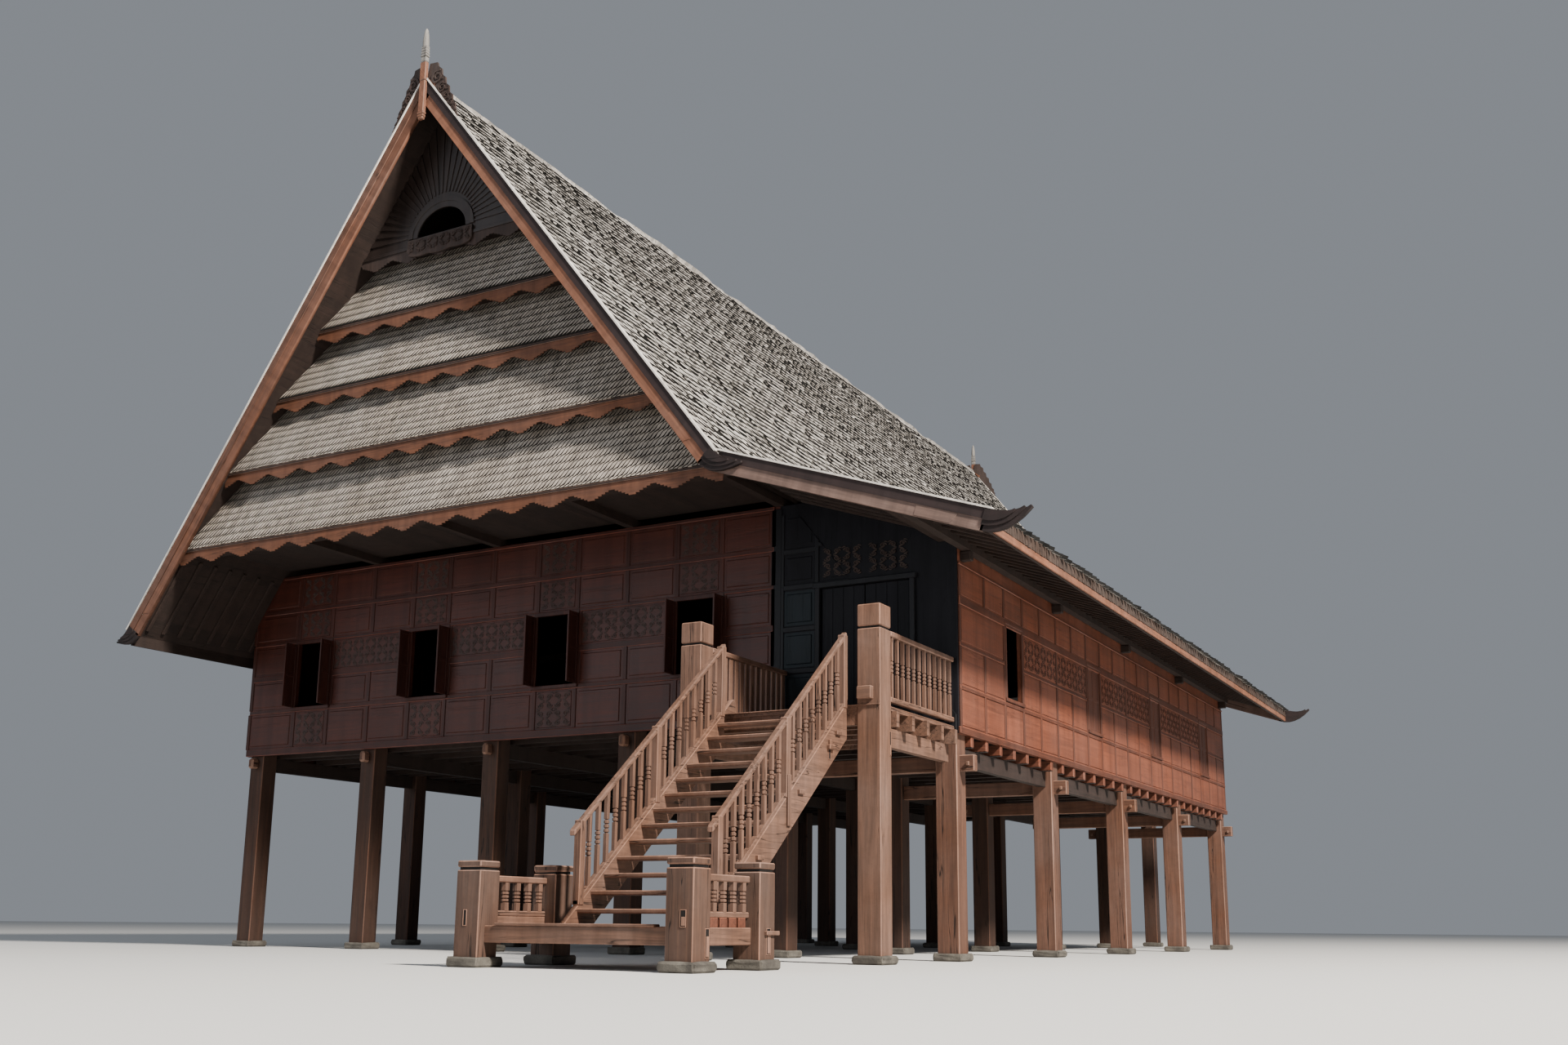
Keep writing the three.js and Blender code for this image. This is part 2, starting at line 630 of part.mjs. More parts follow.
function gablePanels(rake, inwards, reach) {
  const y = (inset) => rake + inwards * inset;
  const panels = TIERS.map((tier, i) => tierPanel(tier, (TIERS[i + 1] ?? SUNBURST).bottom + reach, y));
  return [...panels, sunburstPanel(y)];
}

function gables() {
  const depth = 4 * RAKE_BOARD.depth;
  const frontRoom = gableRoom([FRONT_RAKE, FRONT_RAKE + depth]);
  const front = gablePanels(FRONT_RAKE, 1, -GAP).map((panel) => panel.intersect(frontRoom));
  TIERS.forEach((_, i) => place(`gable_front_tier_${i + 1}`, front[i], SHINGLE));
  place('gable_front_sunburst', front[TIERS.length], CARVED);

  const backRoom = gableRoom([BACK_RAKE - depth, BACK_RAKE]);
  place('gable_back', join(gablePanels(BACK_RAKE, -1, TIER.ledge / 2)).intersect(backRoom), SHINGLE);
}

// The soffit closes the foot of a gable with boards on beams that reach out over the end wall
function soffit(end, rake, inwards, rowY, wallIn) {
  const z0 = ATTIC_TIE[1];
  const z1 = z0 + SOFFIT_BEAM;
  const tip = rake + inwards * (TIERS[0].inset + 2 * TIER.thickness + TIER.lean * SOFFIT_BEAM / 1000);
  const heel = rake + inwards * (TIERS[0].inset + TIER.lean + TIER.thickness);
  const inner = rowY + inwards * HALF;
  const sorted = (a, b) => [Math.min(a, b), Math.max(a, b)];
  const beams = HALL_COLUMNS.slice(0, -1).map((x) => box(
    x - TIE_WIDTH / 2, x + TIE_WIDTH / 2, ...sorted(tip, inner), z0, z1,
  ));
  const boards = box(LEFT_EAVE.x, KINK.x, ...sorted(tip, wallIn), z1 - 1, z1 + BOARD);
  const ledge = box(
    LEFT_EAVE.x, KINK.x, ...sorted(tip - inwards * POST, heel + inwards * GAP),
    z0 - 1, TIERS[0].bottom + TIER.ledge + GAP,
  );
  const room = gableRoom(sorted(tip, inner));
  place(`soffit_${end}`, join([boards, ...beams]).subtract(ledge).intersect(room), WOOD_DARK);
}

// King piece, spire and the carved crests that ride on the bargeboards at the peak

function crestOutline() {
  const { length, height } = CREST;
  const shape = new THREE.Shape();
  shape.moveTo(-height / 2, GAP);
  shape.lineTo(length, GAP);
  shape.quadraticCurveTo(0.9 * length, 0.28 * height, 0.72 * length, 0.5 * height);
  shape.quadraticCurveTo(0.6 * length, 0.95 * height, 0.3 * length, height);
  shape.lineTo(-height / 2, 0.9 * height);
  shape.closePath();
  return shape.extractPoints(4).shape;
}

function peakOrnament(end, rake, inwards) {
  const face = [rake - inwards * KING.thickness, rake - inwards * GAP];
  const half = KING.width / 2;
  const sorted = [Math.min(...face), Math.max(...face)];
  const king = box(RIDGE.x - half, RIDGE.x + half, ...sorted, KING.bottom, KING.top);
  const profile = [
    [0, 0], [62, 0], [62, 60], [44, 75], [58, 110], [58, 150], [38, 170], [48, 200], [34, 260], [16, 460],
    [0, SPIRE_TIP - KING.top + 20],
  ].map(([r, z]) => new THREE.Vector2(r, z));
  const spire = new THREE.LatheGeometry(profile, 12);
  spire.rotateX(Math.PI / 2);
  spire.translate(RIDGE.x, (face[0] + face[1]) / 2, KING.top - 20);
  const span = [rake - inwards * CREST.proud, rake + inwards * RAKE_BOARD.thickness];
  const crests = [[LEFT_EAVE, -1], [KINK, 1]].map(([foot, side]) => {
    const crest = alongY(onSlope(RIDGE, direction(RIDGE, foot), crestOutline()), span);
    const other = box(
      side > 0 ? RIDGE.x - 4 * half : RIDGE.x, side > 0 ? RIDGE.x : RIDGE.x + 4 * half,
      rake - 2 * POST, rake + 2 * POST, 0, KING.top * 2,
    );
    return crest.subtract(other);
  });
  place(`peak_${end}`, join([king, solid(spire), ...crests]), CARVED);
}

// Porch

function groovedPost(x, y, top, groove) {
  const post = padAndPost(x, y, top);
  const r = HALF + 1;
  const core = HALF - groove.depth;
  const ring = box(x - r, x + r, y - r, y + r, groove.from, groove.to)
    .subtract(box(x - core, x + core, y - core, y + core, groove.from - 1, groove.to + 1));
  return post.subtract(ring);
}

// A rail along Y with square balusters between its two bars
function railAlongY(x, y0, y1, rail, count) {
  const half = rail.width / 2;
  const b = BALUSTER / 2;
  const pitch = (y1 - y0) / count;
  return join([
    box(x - half, x + half, y0, y1, rail.top - rail.thickness, rail.top),
    box(x - half, x + half, y0, y1, rail.bottom, rail.bottom + rail.thickness),
    ...range(count).map((i) => {
      const y = y0 + (i + 0.5) * pitch;
      return box(x - b, x + b, y - b, y + b, rail.bottom + 10, rail.top - 10);
    }),
  ]);
}

function porch() {
  const inside = PORCH_POST_Y + HALF - 1;
  for (const [side, x] of [['left', HALL_RIGHT_X], ['right', AISLE_X]]) {
    const rail = railAlongY(PORCH_RAIL_X[side], inside, PORCH_BACK, PORCH_RAIL, PORCH_BALUSTERS);
    place(`porch_side_${side}`, groovedPost(x, PORCH_POST_Y, PORCH_POST_TOP, GROOVE).add(rail), WOOD_PALE);
  }

  const under = AISLE_FLOOR - BOARD;
  const low = under - AISLE_JOIST;
  const [left, right] = [HALL_RIGHT_X - HALF, AISLE_X + HALF];
  const half = BEARER.width / 2;
  const first = PORCH_FRONT + POST + JOIST_WIDTH;
  const pitch = (PORCH_BACK - JOIST_WIDTH - first) / (PORCH_JOISTS - 1);
  const pieces = [box(left, right, PORCH_FRONT, PORCH_BACK, under, AISLE_FLOOR)];
  for (const i of range(PORCH_JOISTS)) {
    const y = first + i * pitch;
    pieces.push(box(left, right + WALL, y - JOIST_WIDTH / 2, y + JOIST_WIDTH / 2, low, under + 1));
  }
  for (const x of [HALL_RIGHT_X, AISLE_X]) {
    pieces.push(box(x - half, x + half, PORCH_POST_Y, PORCH_BACK, low - BEARER.depth, low + 1));
  }
  pieces.push(box(left, right, PORCH_FRONT + 20, PORCH_FRONT + 20 + BEARER.width, low, under + 1));
  const holes = postHoles([HALL_RIGHT_X, AISLE_X], [PORCH_POST_Y], 0, AISLE_FLOOR + 1);
  place('porch_floor', cut(join(pieces), holes), WOOD_PALE);
}

// Stair

const STAIR_GRADE = STAIR.rise / STAIR.going;
const nosing = (y) => STAIR.firstZ + (y - STAIR.firstY) * STAIR_GRADE;
const yOfNosing = (z) => STAIR.firstY + (z - STAIR.firstZ) / STAIR_GRADE;

function stair() {
  const { left, right, treads } = STAIR;
  const topEdge = nosing(STAIR_TOP_Y) + STRINGER.lift;
  const foot = PLATFORM.floor;
  const outline = [
    [STAIR_TOP_Y, topEdge],
    [yOfNosing(foot - STRINGER.lift), foot],
    [yOfNosing(foot - STRINGER.lift + STRINGER.depth), foot],
    [STAIR_TOP_Y, topEdge - STRINGER.depth],
  ];
  const pieces = [
    alongX(outline, [left, left + STRINGER.thickness]),
    alongX(outline, [right - STRINGER.thickness, right]),
  ];
  for (const i of range(treads)) {
    const z = STAIR.firstZ - i * STAIR.rise;
    const y = yOfNosing(z);
    const back = Math.min(y + TREAD.depth, STAIR_TOP_Y);
    pieces.push(box(left + TREAD.inset, right - TREAD.inset, y, back, z - TREAD.thickness, z));
  }
  place('stair_flight', join(pieces), WOOD_PALE);
  place('stair_rail_left', stairRail(left + STRINGER.thickness / 2), WOOD_PALE);
  place('stair_rail_right', stairRail(right - STRINGER.thickness / 2), WOOD_PALE);
}

function stairRail(x) {
  const { lift, thickness, shoe, newel, foot, end } = STAIR_RAIL;
  const seat = (y) => nosing(y) + STRINGER.lift + GAP;
  const top = (y) => nosing(y) + lift;
  const band = (y0, y1, low, high, half) => alongX([
    [y0, low(y0)],
    [y1, low(y1)],
    [y1, high(y1)],
    [y0, high(y0)],
  ], [x - half, x + half]);
  const stick = (y, half) => band(y - half, y + half, (v) => seat(v) + 1, (v) => top(v) - 10, half);
  const last = STAIR_TOP_Y - newel / 2;
  const pitch = (last - foot) / (STAIR_BALUSTERS + 1);
  return join([
    band(end, STAIR_TOP_Y, (v) => top(v) - thickness, top, STAIR_RAIL.width / 2),
    band(foot - newel / 2, STAIR_TOP_Y, seat, (v) => seat(v) + shoe, STRINGER.thickness / 2),
    stick(foot, newel / 2),
    stick(last, newel / 2),
    stick((foot + last) / 2, newel / 2),
    ...range(STAIR_BALUSTERS).map((i) => stick(foot + (i + 1) * pitch, BALUSTER / 2)),
  ]);
}

// Base platform: four short capped posts, sills and rails between them, and a boarded floor

function platform() {
  const [frontY, backY] = [PLATFORM.front + HALF, PLATFORM.back - HALF];
  const s = PLATFORM_SILL.width / 2;
  const z = [PLATFORM_SILL.bottom, PLATFORM.floor];
  const frame = [];
  for (const x of [HALL_RIGHT_X, AISLE_X]) {
    frame.push(groovedPost(x, frontY, PLATFORM.postTop, PLATFORM_GROOVE));
    frame.push(groovedPost(x, backY, PLATFORM.postTop, PLATFORM_GROOVE));
    frame.push(box(x - s, x + s, frontY, backY, ...z));
    frame.push(railAlongY(x, frontY + HALF - 1, backY - HALF + 1, PLATFORM_RAIL, PLATFORM_BALUSTERS));
  }
  for (const y of [frontY, backY]) {
    frame.push(box(HALL_RIGHT_X, AISLE_X, y - s, y + s, ...z));
  }
  place('platform_frame', join(frame), WOOD_PALE);

  const boards = box(
    HALL_RIGHT_X + s, AISLE_X - s, frontY + s, backY - s, PLATFORM.floor - BOARD, PLATFORM.floor,
  );
  const posts = postHoles([HALL_RIGHT_X, AISLE_X], [frontY, backY], 0, PLATFORM.postTop);
  place('platform_floor', cut(boards, posts), WOOD_PALE);
}

range(ROWS).forEach(postRow);
floors();
frontWalls();
sideWalls();
backWalls();
WINDOW_CENTRES.forEach((x, i) => openWindow(i, x));
doorLeaves();
roofs();
const FRONT_BOARD = [FRONT_RAKE, FRONT_RAKE + RAKE_BOARD.thickness];
const SET_BACK_BOARD = FRONT_BOARD.map((y) => y + RAKE_BOARD.thickness);
const BACK_BOARD = [BACK_RAKE - RAKE_BOARD.thickness, BACK_RAKE];
const AISLE_BACK_BOARD = [AISLE_BACK_RAKE - RAKE_BOARD.thickness, AISLE_BACK_RAKE];
bargeboards('front', FRONT_BOARD, SET_BACK_BOARD);
bargeboards('back', BACK_BOARD, AISLE_BACK_BOARD);
aislePurlin();
gables();
soffit('front', FRONT_RAKE, 1, 0, FRONT_IN);
soffit('back', BACK_RAKE, -1, HALL_BACK_Y, BACK_IN);
peakOrnament('front', FRONT_RAKE, 1);
peakOrnament('back', BACK_RAKE, -1);
porch();
stair();
platform();

export default house;
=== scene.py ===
import math

import bmesh
import bpy
from mathutils import Matrix, Vector


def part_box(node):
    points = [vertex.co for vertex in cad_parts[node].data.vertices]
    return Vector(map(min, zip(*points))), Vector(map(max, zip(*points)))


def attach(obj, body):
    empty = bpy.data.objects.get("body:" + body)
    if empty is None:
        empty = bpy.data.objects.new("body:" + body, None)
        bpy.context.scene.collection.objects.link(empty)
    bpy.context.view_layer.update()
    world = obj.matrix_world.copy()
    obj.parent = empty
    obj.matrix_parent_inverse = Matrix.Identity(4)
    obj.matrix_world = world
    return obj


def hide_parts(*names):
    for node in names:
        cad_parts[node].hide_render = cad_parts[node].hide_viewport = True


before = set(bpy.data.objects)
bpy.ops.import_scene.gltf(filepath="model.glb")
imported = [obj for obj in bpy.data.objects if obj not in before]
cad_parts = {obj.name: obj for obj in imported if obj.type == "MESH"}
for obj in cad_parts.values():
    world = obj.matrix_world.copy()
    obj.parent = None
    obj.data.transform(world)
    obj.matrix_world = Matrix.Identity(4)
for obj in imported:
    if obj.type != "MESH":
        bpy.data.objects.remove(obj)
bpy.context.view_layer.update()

bl_info = {
    "name": "Stilt house",
    "version": (1, 0, 0),
    "blender": (4, 5, 0),
    "location": "View3D > Sidebar > Stilt house",
    "description": "Builds the looks of a traditional timber stilt house around its packed model",
    "category": "Add Mesh",
}

# Places taken from the frame, in metres
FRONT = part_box("front_wall_lower")[0].y
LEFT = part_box("left_wall")[0].x
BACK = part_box("back_wall")[1].y
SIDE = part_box("side_wall_back")[1].x
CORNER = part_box("front_wall_lower")[1].x
AISLE_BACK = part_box("aisle_back_wall")[1].y
WINDOWS = [(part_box(f"window_{i}")[0].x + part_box(f"window_{i}")[1].x) / 2 for i in range(1, 5)]

# The post grid and the roof lines that the model is built on
COLUMNS = [-12.645, -10.1, -7.555, -5.01, -2.465]
ROW = 3.73
POST_HALF = 0.15
HALL_TOP, AISLE_TOP = 6.24, 5.31
RIDGE = Vector((-7.57, 0, 13.24))
LEFT_EAVE = Vector((-13.233, 0, 5.044))
KINK = Vector((-2.2, 0, 6.396))
AISLE_EAVE = Vector((1.5, 0, 5.131))
LEFT_RISE = (RIDGE.z - LEFT_EAVE.z) / (RIDGE.x - LEFT_EAVE.x)
RIGHT_RISE = (RIDGE.z - KINK.z) / (KINK.x - RIDGE.x)
AISLE_FALL = (KINK.z - AISLE_EAVE.z) / (AISLE_EAVE.x - KINK.x)

# Where the rake boards stand along the ridge; those of the aisle stand a little further in at the front
RAKE = -2.45
BACK_RAKE = 20.35
AISLE_BACK_RAKE = 15.4
AISLE_SETBACK = 0.06
RAKE_DEPTH = 0.27

# Rows of panels of the hall and of the aisle, the aisle's module along its wall, and the hall's window openings
HALL_ROWS = [(3.285, 3.865), (3.945, 4.43), (4.53, 5.04), (5.1, 5.58), (5.66, 6.185)]
AISLE_ROWS = [(2.96, 3.45), (3.51, 4.02), (4.08, 4.57), (4.7, 5.11), (5.2, 5.6)]
MODULE = 0.755
SILL, HEAD, HALF_WINDOW = 3.945, 5.02, 0.36

# Height and setback of the foot of each gable tier and of the sunburst, and how far a tier leans back
TIERS = [(6.23, 0.15), (7.43, 0.23), (8.58, 0.39), (9.65, 0.47)]
SUNBURST = (10.75, 0.56)
BURST_Z = 10.9
LEAN = 0.43

MATERIALS = {}


# --- Mesh helpers -----------------------------------------------------------------------------------------------

def clear():
    if bpy.context.mode != "OBJECT":
        bpy.ops.object.mode_set(mode="OBJECT")
    bpy.ops.object.select_all(action="DESELECT")


def only(piece):
    clear()
    piece.select_set(True)
    bpy.context.view_layer.objects.active = piece
    return piece


def edit(piece):
    """Opens a piece in edit mode with all of it selected."""
    only(piece)
    bpy.ops.object.mode_set(mode="EDIT")
    bpy.ops.mesh.select_mode(type="VERT")
    bpy.ops.mesh.select_all(action="SELECT")


def done():
    bpy.ops.object.mode_set(mode="OBJECT")


def pick(piece, test, kind="FACE"):
    """Selects the faces or corners that pass a test on their centre (and normal), in edit mode."""
    mesh = bmesh.from_edit_mesh(piece.data)
    bpy.ops.mesh.select_mode(type="FACE" if kind == "FACE" else "VERT")
    for face in mesh.faces:
        face.select = False
    for vert in mesh.verts:
        vert.select = False
    if kind == "FACE":
        for face in mesh.faces:
            if test(face.calc_center_median(), face.normal):
                face.select_set(True)
    else:
        for vert in mesh.verts:
            if test(vert.co, vert.normal):
                vert.select_set(True)
        mesh.select_flush_mode()
    bmesh.update_edit_mesh(piece.data)


def settle(piece):
    """Puts the place, turn and scale of a piece into its mesh."""
    only(piece)
    bpy.ops.object.transform_apply(location=True, rotation=True, scale=True)
    return piece


def block(low, high, bevel=0.006):
    """A squared timber between two corners, with its edges eased."""
    clear()
    size = [high[i] - low[i] for i in range(3)]
    middle = [(high[i] + low[i]) / 2 for i in range(3)]
    bpy.ops.mesh.primitive_cube_add(size=1, location=middle, scale=size)
    piece = settle(bpy.context.active_object)
    if bevel:
        bpy.ops.object.mode_set(mode="EDIT")
        bpy.ops.mesh.select_all(action="SELECT")
        bpy.ops.mesh.bevel(offset=min(bevel, 0.3 * min(size)), segments=1, affect="EDGES")
        done()
    return piece


def copy_of(piece, matrix):
    twin = piece.copy()
    twin.data = piece.data.copy()
    bpy.context.scene.collection.objects.link(twin)
    twin.data.transform(matrix)
    return twin


def moved(piece, x=0, y=0, z=0):
    return copy_of(piece, Matrix.Translation((x, y, z)))


def shifted(piece, x=0, y=0, z=0):
    """Moves a piece itself, in its mesh."""
    piece.data.transform(Matrix.Translation((x, y, z)))
    return piece


def flipped(piece):
    """Turns the faces of a mirrored piece outwards again."""
    edit(piece)
    bpy.ops.mesh.flip_normals()
    done()
    return piece


def place_of(axes, origin):
    """From a frame with these axes and this origin to the model."""
    place = Matrix.Identity(4)
    for index, axis in enumerate(axes):
        place[0][index], place[1][index], place[2][index] = axis
    place[0][3], place[1][3], place[2][3] = origin
    return place


def drop(piece):
    bpy.data.objects.remove(piece)


def joined(pieces):
    clear()
    for piece in pieces:
        piece.select_set(True)
    bpy.context.view_layer.objects.active = pieces[0]
    if len(pieces) > 1:
        bpy.ops.object.join()
    return bpy.context.active_object


def spread(piece, places):
    """Copies of a piece moved to each place, joined; the first piece goes away."""
    copies = [moved(piece, *place) for place in places]
    drop(piece)
    return joined(copies)


def row_of(piece, count, step):
    only(piece)
    array = piece.modifiers.new("Row", "ARRAY")
    array.count = count
    array.use_relative_offset = False
    array.use_constant_offset = True
    array.constant_offset_displace = step
    bpy.ops.object.modifier_apply(modifier=array.name)
    return piece


def outline(points, thickness, matrix=None, holes=(), bevel=0.0):
    """A board cut to a flat outline in X and Z; its face looks towards -Y at Y 0 and it is as thick as said."""
    clear()
    curve = bpy.data.curves.new("outline", "CURVE")
    curve.dimensions = "2D"
    curve.fill_mode = "BOTH"
    curve.extrude = thickness / 2 - bevel
    curve.bevel_depth = bevel
    curve.bevel_resolution = 0
    for loop in (points, *holes):
        spline = curve.splines.new("POLY")
        spline.points.add(len(loop) - 1)
        for point, (x, z) in zip(spline.points, loop):
            point.co = (x, z, 0, 1)
        spline.use_cyclic_u = True
    board = bpy.data.objects.new("outline", curve)
    bpy.context.scene.collection.objects.link(board)
    only(board)
    bpy.ops.object.convert(target="MESH")
    board = bpy.context.active_object
    turn = Matrix(((1, 0, 0, 0), (0, 0, -1, thickness / 2), (0, 1, 0, 0), (0, 0, 0, 1)))
    board.data.transform(matrix @ turn if matrix else turn)
    edit(board)
    bpy.ops.mesh.remove_doubles(threshold=0.0002)
    bpy.ops.mesh.normals_make_consistent(inside=False)
    done()
    return board


def turned(profile, sides=8):
    """A turned piece along Z, drawn out ring by ring from its foot: (radius, height) pairs."""
    clear()
    radius, height = profile[0]
    bpy.ops.mesh.primitive_circle_add(vertices=sides, radius=radius, fill_type="NGON", location=(0, 0, height))
    piece = settle(bpy.context.active_object)
    bpy.ops.object.mode_set(mode="EDIT")
    bpy.ops.mesh.select_mode(type="FACE")
    bpy.ops.mesh.select_all(action="SELECT")
    bpy.ops.mesh.flip_normals()
    for (r0, z0), (r1, z1) in zip(profile, profile[1:]):
        bpy.ops.mesh.extrude_region_move(TRANSFORM_OT_translate={"value": (0, 0, z1 - z0)})
        bpy.ops.transform.resize(value=(r1 / r0, r1 / r0, 1), center_override=(0, 0, z1))
    bpy.ops.mesh.select_all(action="SELECT")
    bpy.ops.mesh.normals_make_consistent(inside=False)
    done()
    only(piece)
    bpy.ops.object.shade_smooth_by_angle(angle=math.radians(40))
    return piece


def roughened(piece, amount, seed, test=None):
    """Moves the corners of a piece, or those that pass a test, at random."""
    edit(piece)
    if test:
        pick(piece, test, "CORNER")
    bpy.ops.transform.vertex_random(offset=amount, uniform=0.0, normal=0.0, seed=seed)
    done()
    return piece


def trimmed(piece, point, normal):
    """Cuts away what lies on the side of a plane that its normal looks to."""
    edit(piece)
    bpy.ops.mesh.bisect(plane_co=point, plane_no=Vector(normal).normalized(), use_fill=True, clear_outer=True)
    done()
    return piece


# --- Shader helpers ---------------------------------------------------------------------------------------------

def put(tree, kind, inputs=None, **settings):
    made = tree.nodes.new("ShaderNode" + kind)
    for key, value in settings.items():
        setattr(made, key, value)
    for key, value in (inputs or {}).items():
        socket = made.inputs[key]
        if isinstance(value, bpy.types.NodeSocket):
            tree.links.new(value, socket)
        else:
            socket.default_value = value
    return made


def maths(tree, operation, *values):
    return put(tree, "Math", dict(enumerate(values)), operation=operation).outputs[0]


def mixed(tree, factor, a, b):
    return put(tree, "Mix", {0: factor, 6: a, 7: b}, data_type="RGBA").outputs[2]


def ramp(tree, value, low, high):
    return put(tree, "MapRange", {0: value, 1: low, 2: high, 3: 0.0, 4: 1.0}).outputs[0]


def shader_group(name, inputs, outputs):
    tree = bpy.data.node_groups.new(name, "ShaderNodeTree")
    for label, kind, value in inputs:
        socket = tree.interface.new_socket(name=label, in_out="INPUT", socket_type=kind)
        socket.default_value = value
    for label in outputs:
        tree.interface.new_socket(name=label, in_out="OUTPUT", socket_type="NodeSocketFloat")
    return tree, tree.nodes.new("NodeGroupInput"), tree.nodes.new("NodeGroupOutput")


VECTOR = "NodeSocketVector"
FLOAT = "NodeSocketFloat"


def timber_grain():
    """Fibres, growth bands and drying cracks, long the way that Stretch is small."""
    tree, given, out = shader_group("Timber grain", [
        ("Vector", VECTOR, (0, 0, 0)), ("Stretch", VECTOR, (30, 30, 1.5)), ("Cracks", FLOAT, 0.5),
    ], ["Tone", "Crack", "Height"])
    spot = put(tree, "VectorMath", {0: given.outputs[0], 1: given.outputs[1]}, operation="MULTIPLY").outputs[0]
    fibre = put(tree, "TexNoise", {"Vector": spot, "Scale": 1.0, "Detail": 5.0, "Distortion": 0.4}).outputs[0]
    wide = put(tree, "TexNoise", {"Vector": spot, "Scale": 0.22, "Detail": 2.0, "Distortion": 0.8}).outputs[0]
    bands = maths(tree, "SINE", maths(tree, "MULTIPLY", wide, 34.0))
    bands = maths(tree, "MULTIPLY_ADD", bands, 0.5, 0.5)
    fine = put(tree, "TexNoise", {"Vector": spot, "Scale": 3.4, "Detail": 4.0, "Distortion": 0.2}).outputs[0]
    split = put(tree, "TexNoise", {"Vector": spot, "Scale": 0.42, "Detail": 3.0, "Distortion": 0.2}).outputs[0]
    narrow = maths(tree, "ABSOLUTE", maths(tree, "SUBTRACT", split, 0.5))
    crack = maths(tree, "SUBTRACT", 1.0, ramp(tree, narrow, 0.002, 0.014))
    gate = put(tree, "TexNoise", {"Vector": spot, "Scale": 0.12, "Detail": 1.0}).outputs[0]
    crack = maths(tree, "MULTIPLY", crack, ramp(tree, gate, 0.46, 0.52))
    crack = maths(tree, "MULTIPLY", crack, given.outputs[2])
    tone = maths(tree, "ADD", maths(tree, "MULTIPLY", fibre, 0.5), maths(tree, "MULTIPLY", bands, 0.12))
    tone = maths(tree, "ADD", tone, maths(tree, "MULTIPLY", fine, 0.38))
    height = maths(tree, "SUBTRACT", tone, maths(tree, "MULTIPLY", crack, 1.6))
    for socket, value in zip(out.inputs, (tone, crack, height)):
        tree.links.new(value, socket)
    return tree


def weathering():
    """Large pale and dark patches, upright streaks and fine dirt."""
    tree, given, out = shader_group("Weathering", [
        ("Vector", VECTOR, (0, 0, 0)), ("Size", FLOAT, 1.0),
    ], ["Patch", "Streak", "Dirt"])
    spot = put(tree, "VectorMath", {0: given.outputs[0], "Scale": given.outputs[1]}, operation="SCALE").outputs[0]
    patch = put(tree, "TexNoise", {"Vector": spot, "Scale": 0.9, "Detail": 4.0, "Roughness": 0.6}).outputs[0]
    tall = put(tree, "VectorMath", {0: spot, 1: (7.0, 7.0, 0.5)}, operation="MULTIPLY").outputs[0]
    streak = put(tree, "TexNoise", {"Vector": tall, "Scale": 1.0, "Detail": 3.0}).outputs[0]
    dirt = put(tree, "TexNoise", {"Vector": spot, "Scale": 14.0, "Detail": 5.0, "Roughness": 0.7}).outputs[0]
    for socket, value in zip(out.inputs, (ramp(tree, patch, 0.35, 0.68), ramp(tree, streak, 0.42, 0.68),
                                          ramp(tree, dirt, 0.45, 0.75))):
        tree.links.new(value, socket)
    return tree


def board_tones():
    """One random tone for each board or shingle in a regular grid of cells."""
    tree, given, out = shader_group("Board tones", [
        ("Vector", VECTOR, (0, 0, 0)), ("Cell", VECTOR, (1, 1, 1)),
    ], ["Tone", "Second tone"])
    cell = put(tree, "VectorMath", {0: given.outputs[0], 1: given.outputs[1]}, operation="DIVIDE").outputs[0]
    cell = put(tree, "VectorMath", {0: cell}, operation="FLOOR").outputs[0]
    tone = put(tree, "TexWhiteNoise", {"Vector": cell}, noise_dimensions="3D")
    second = put(tree, "VectorMath", {0: cell, 1: (31.7, 17.3, 9.1)}, operation="ADD").outputs[0]
    other = put(tree, "TexWhiteNoise", {"Vector": second}, noise_dimensions="3D")
    tree.links.new(tone.outputs["Value"], out.inputs[0])
    tree.links.new(other.outputs["Value"], out.inputs[1])
    return tree


# How finely the grain is drawn along each axis, for fibres that run along x, y or z
ALONG = {"x": (1.2, 26.0, 26.0), "y": (26.0, 1.2, 26.0), "z": (26.0, 26.0, 1.2)}


def new_finish(name):
    """A new material without nodes, kept under its name; gives its node tree."""
    material = bpy.data.materials.new(name)
    material.use_nodes = True
    material.node_tree.nodes.clear()
    MATERIALS[name] = material
    return material.node_tree


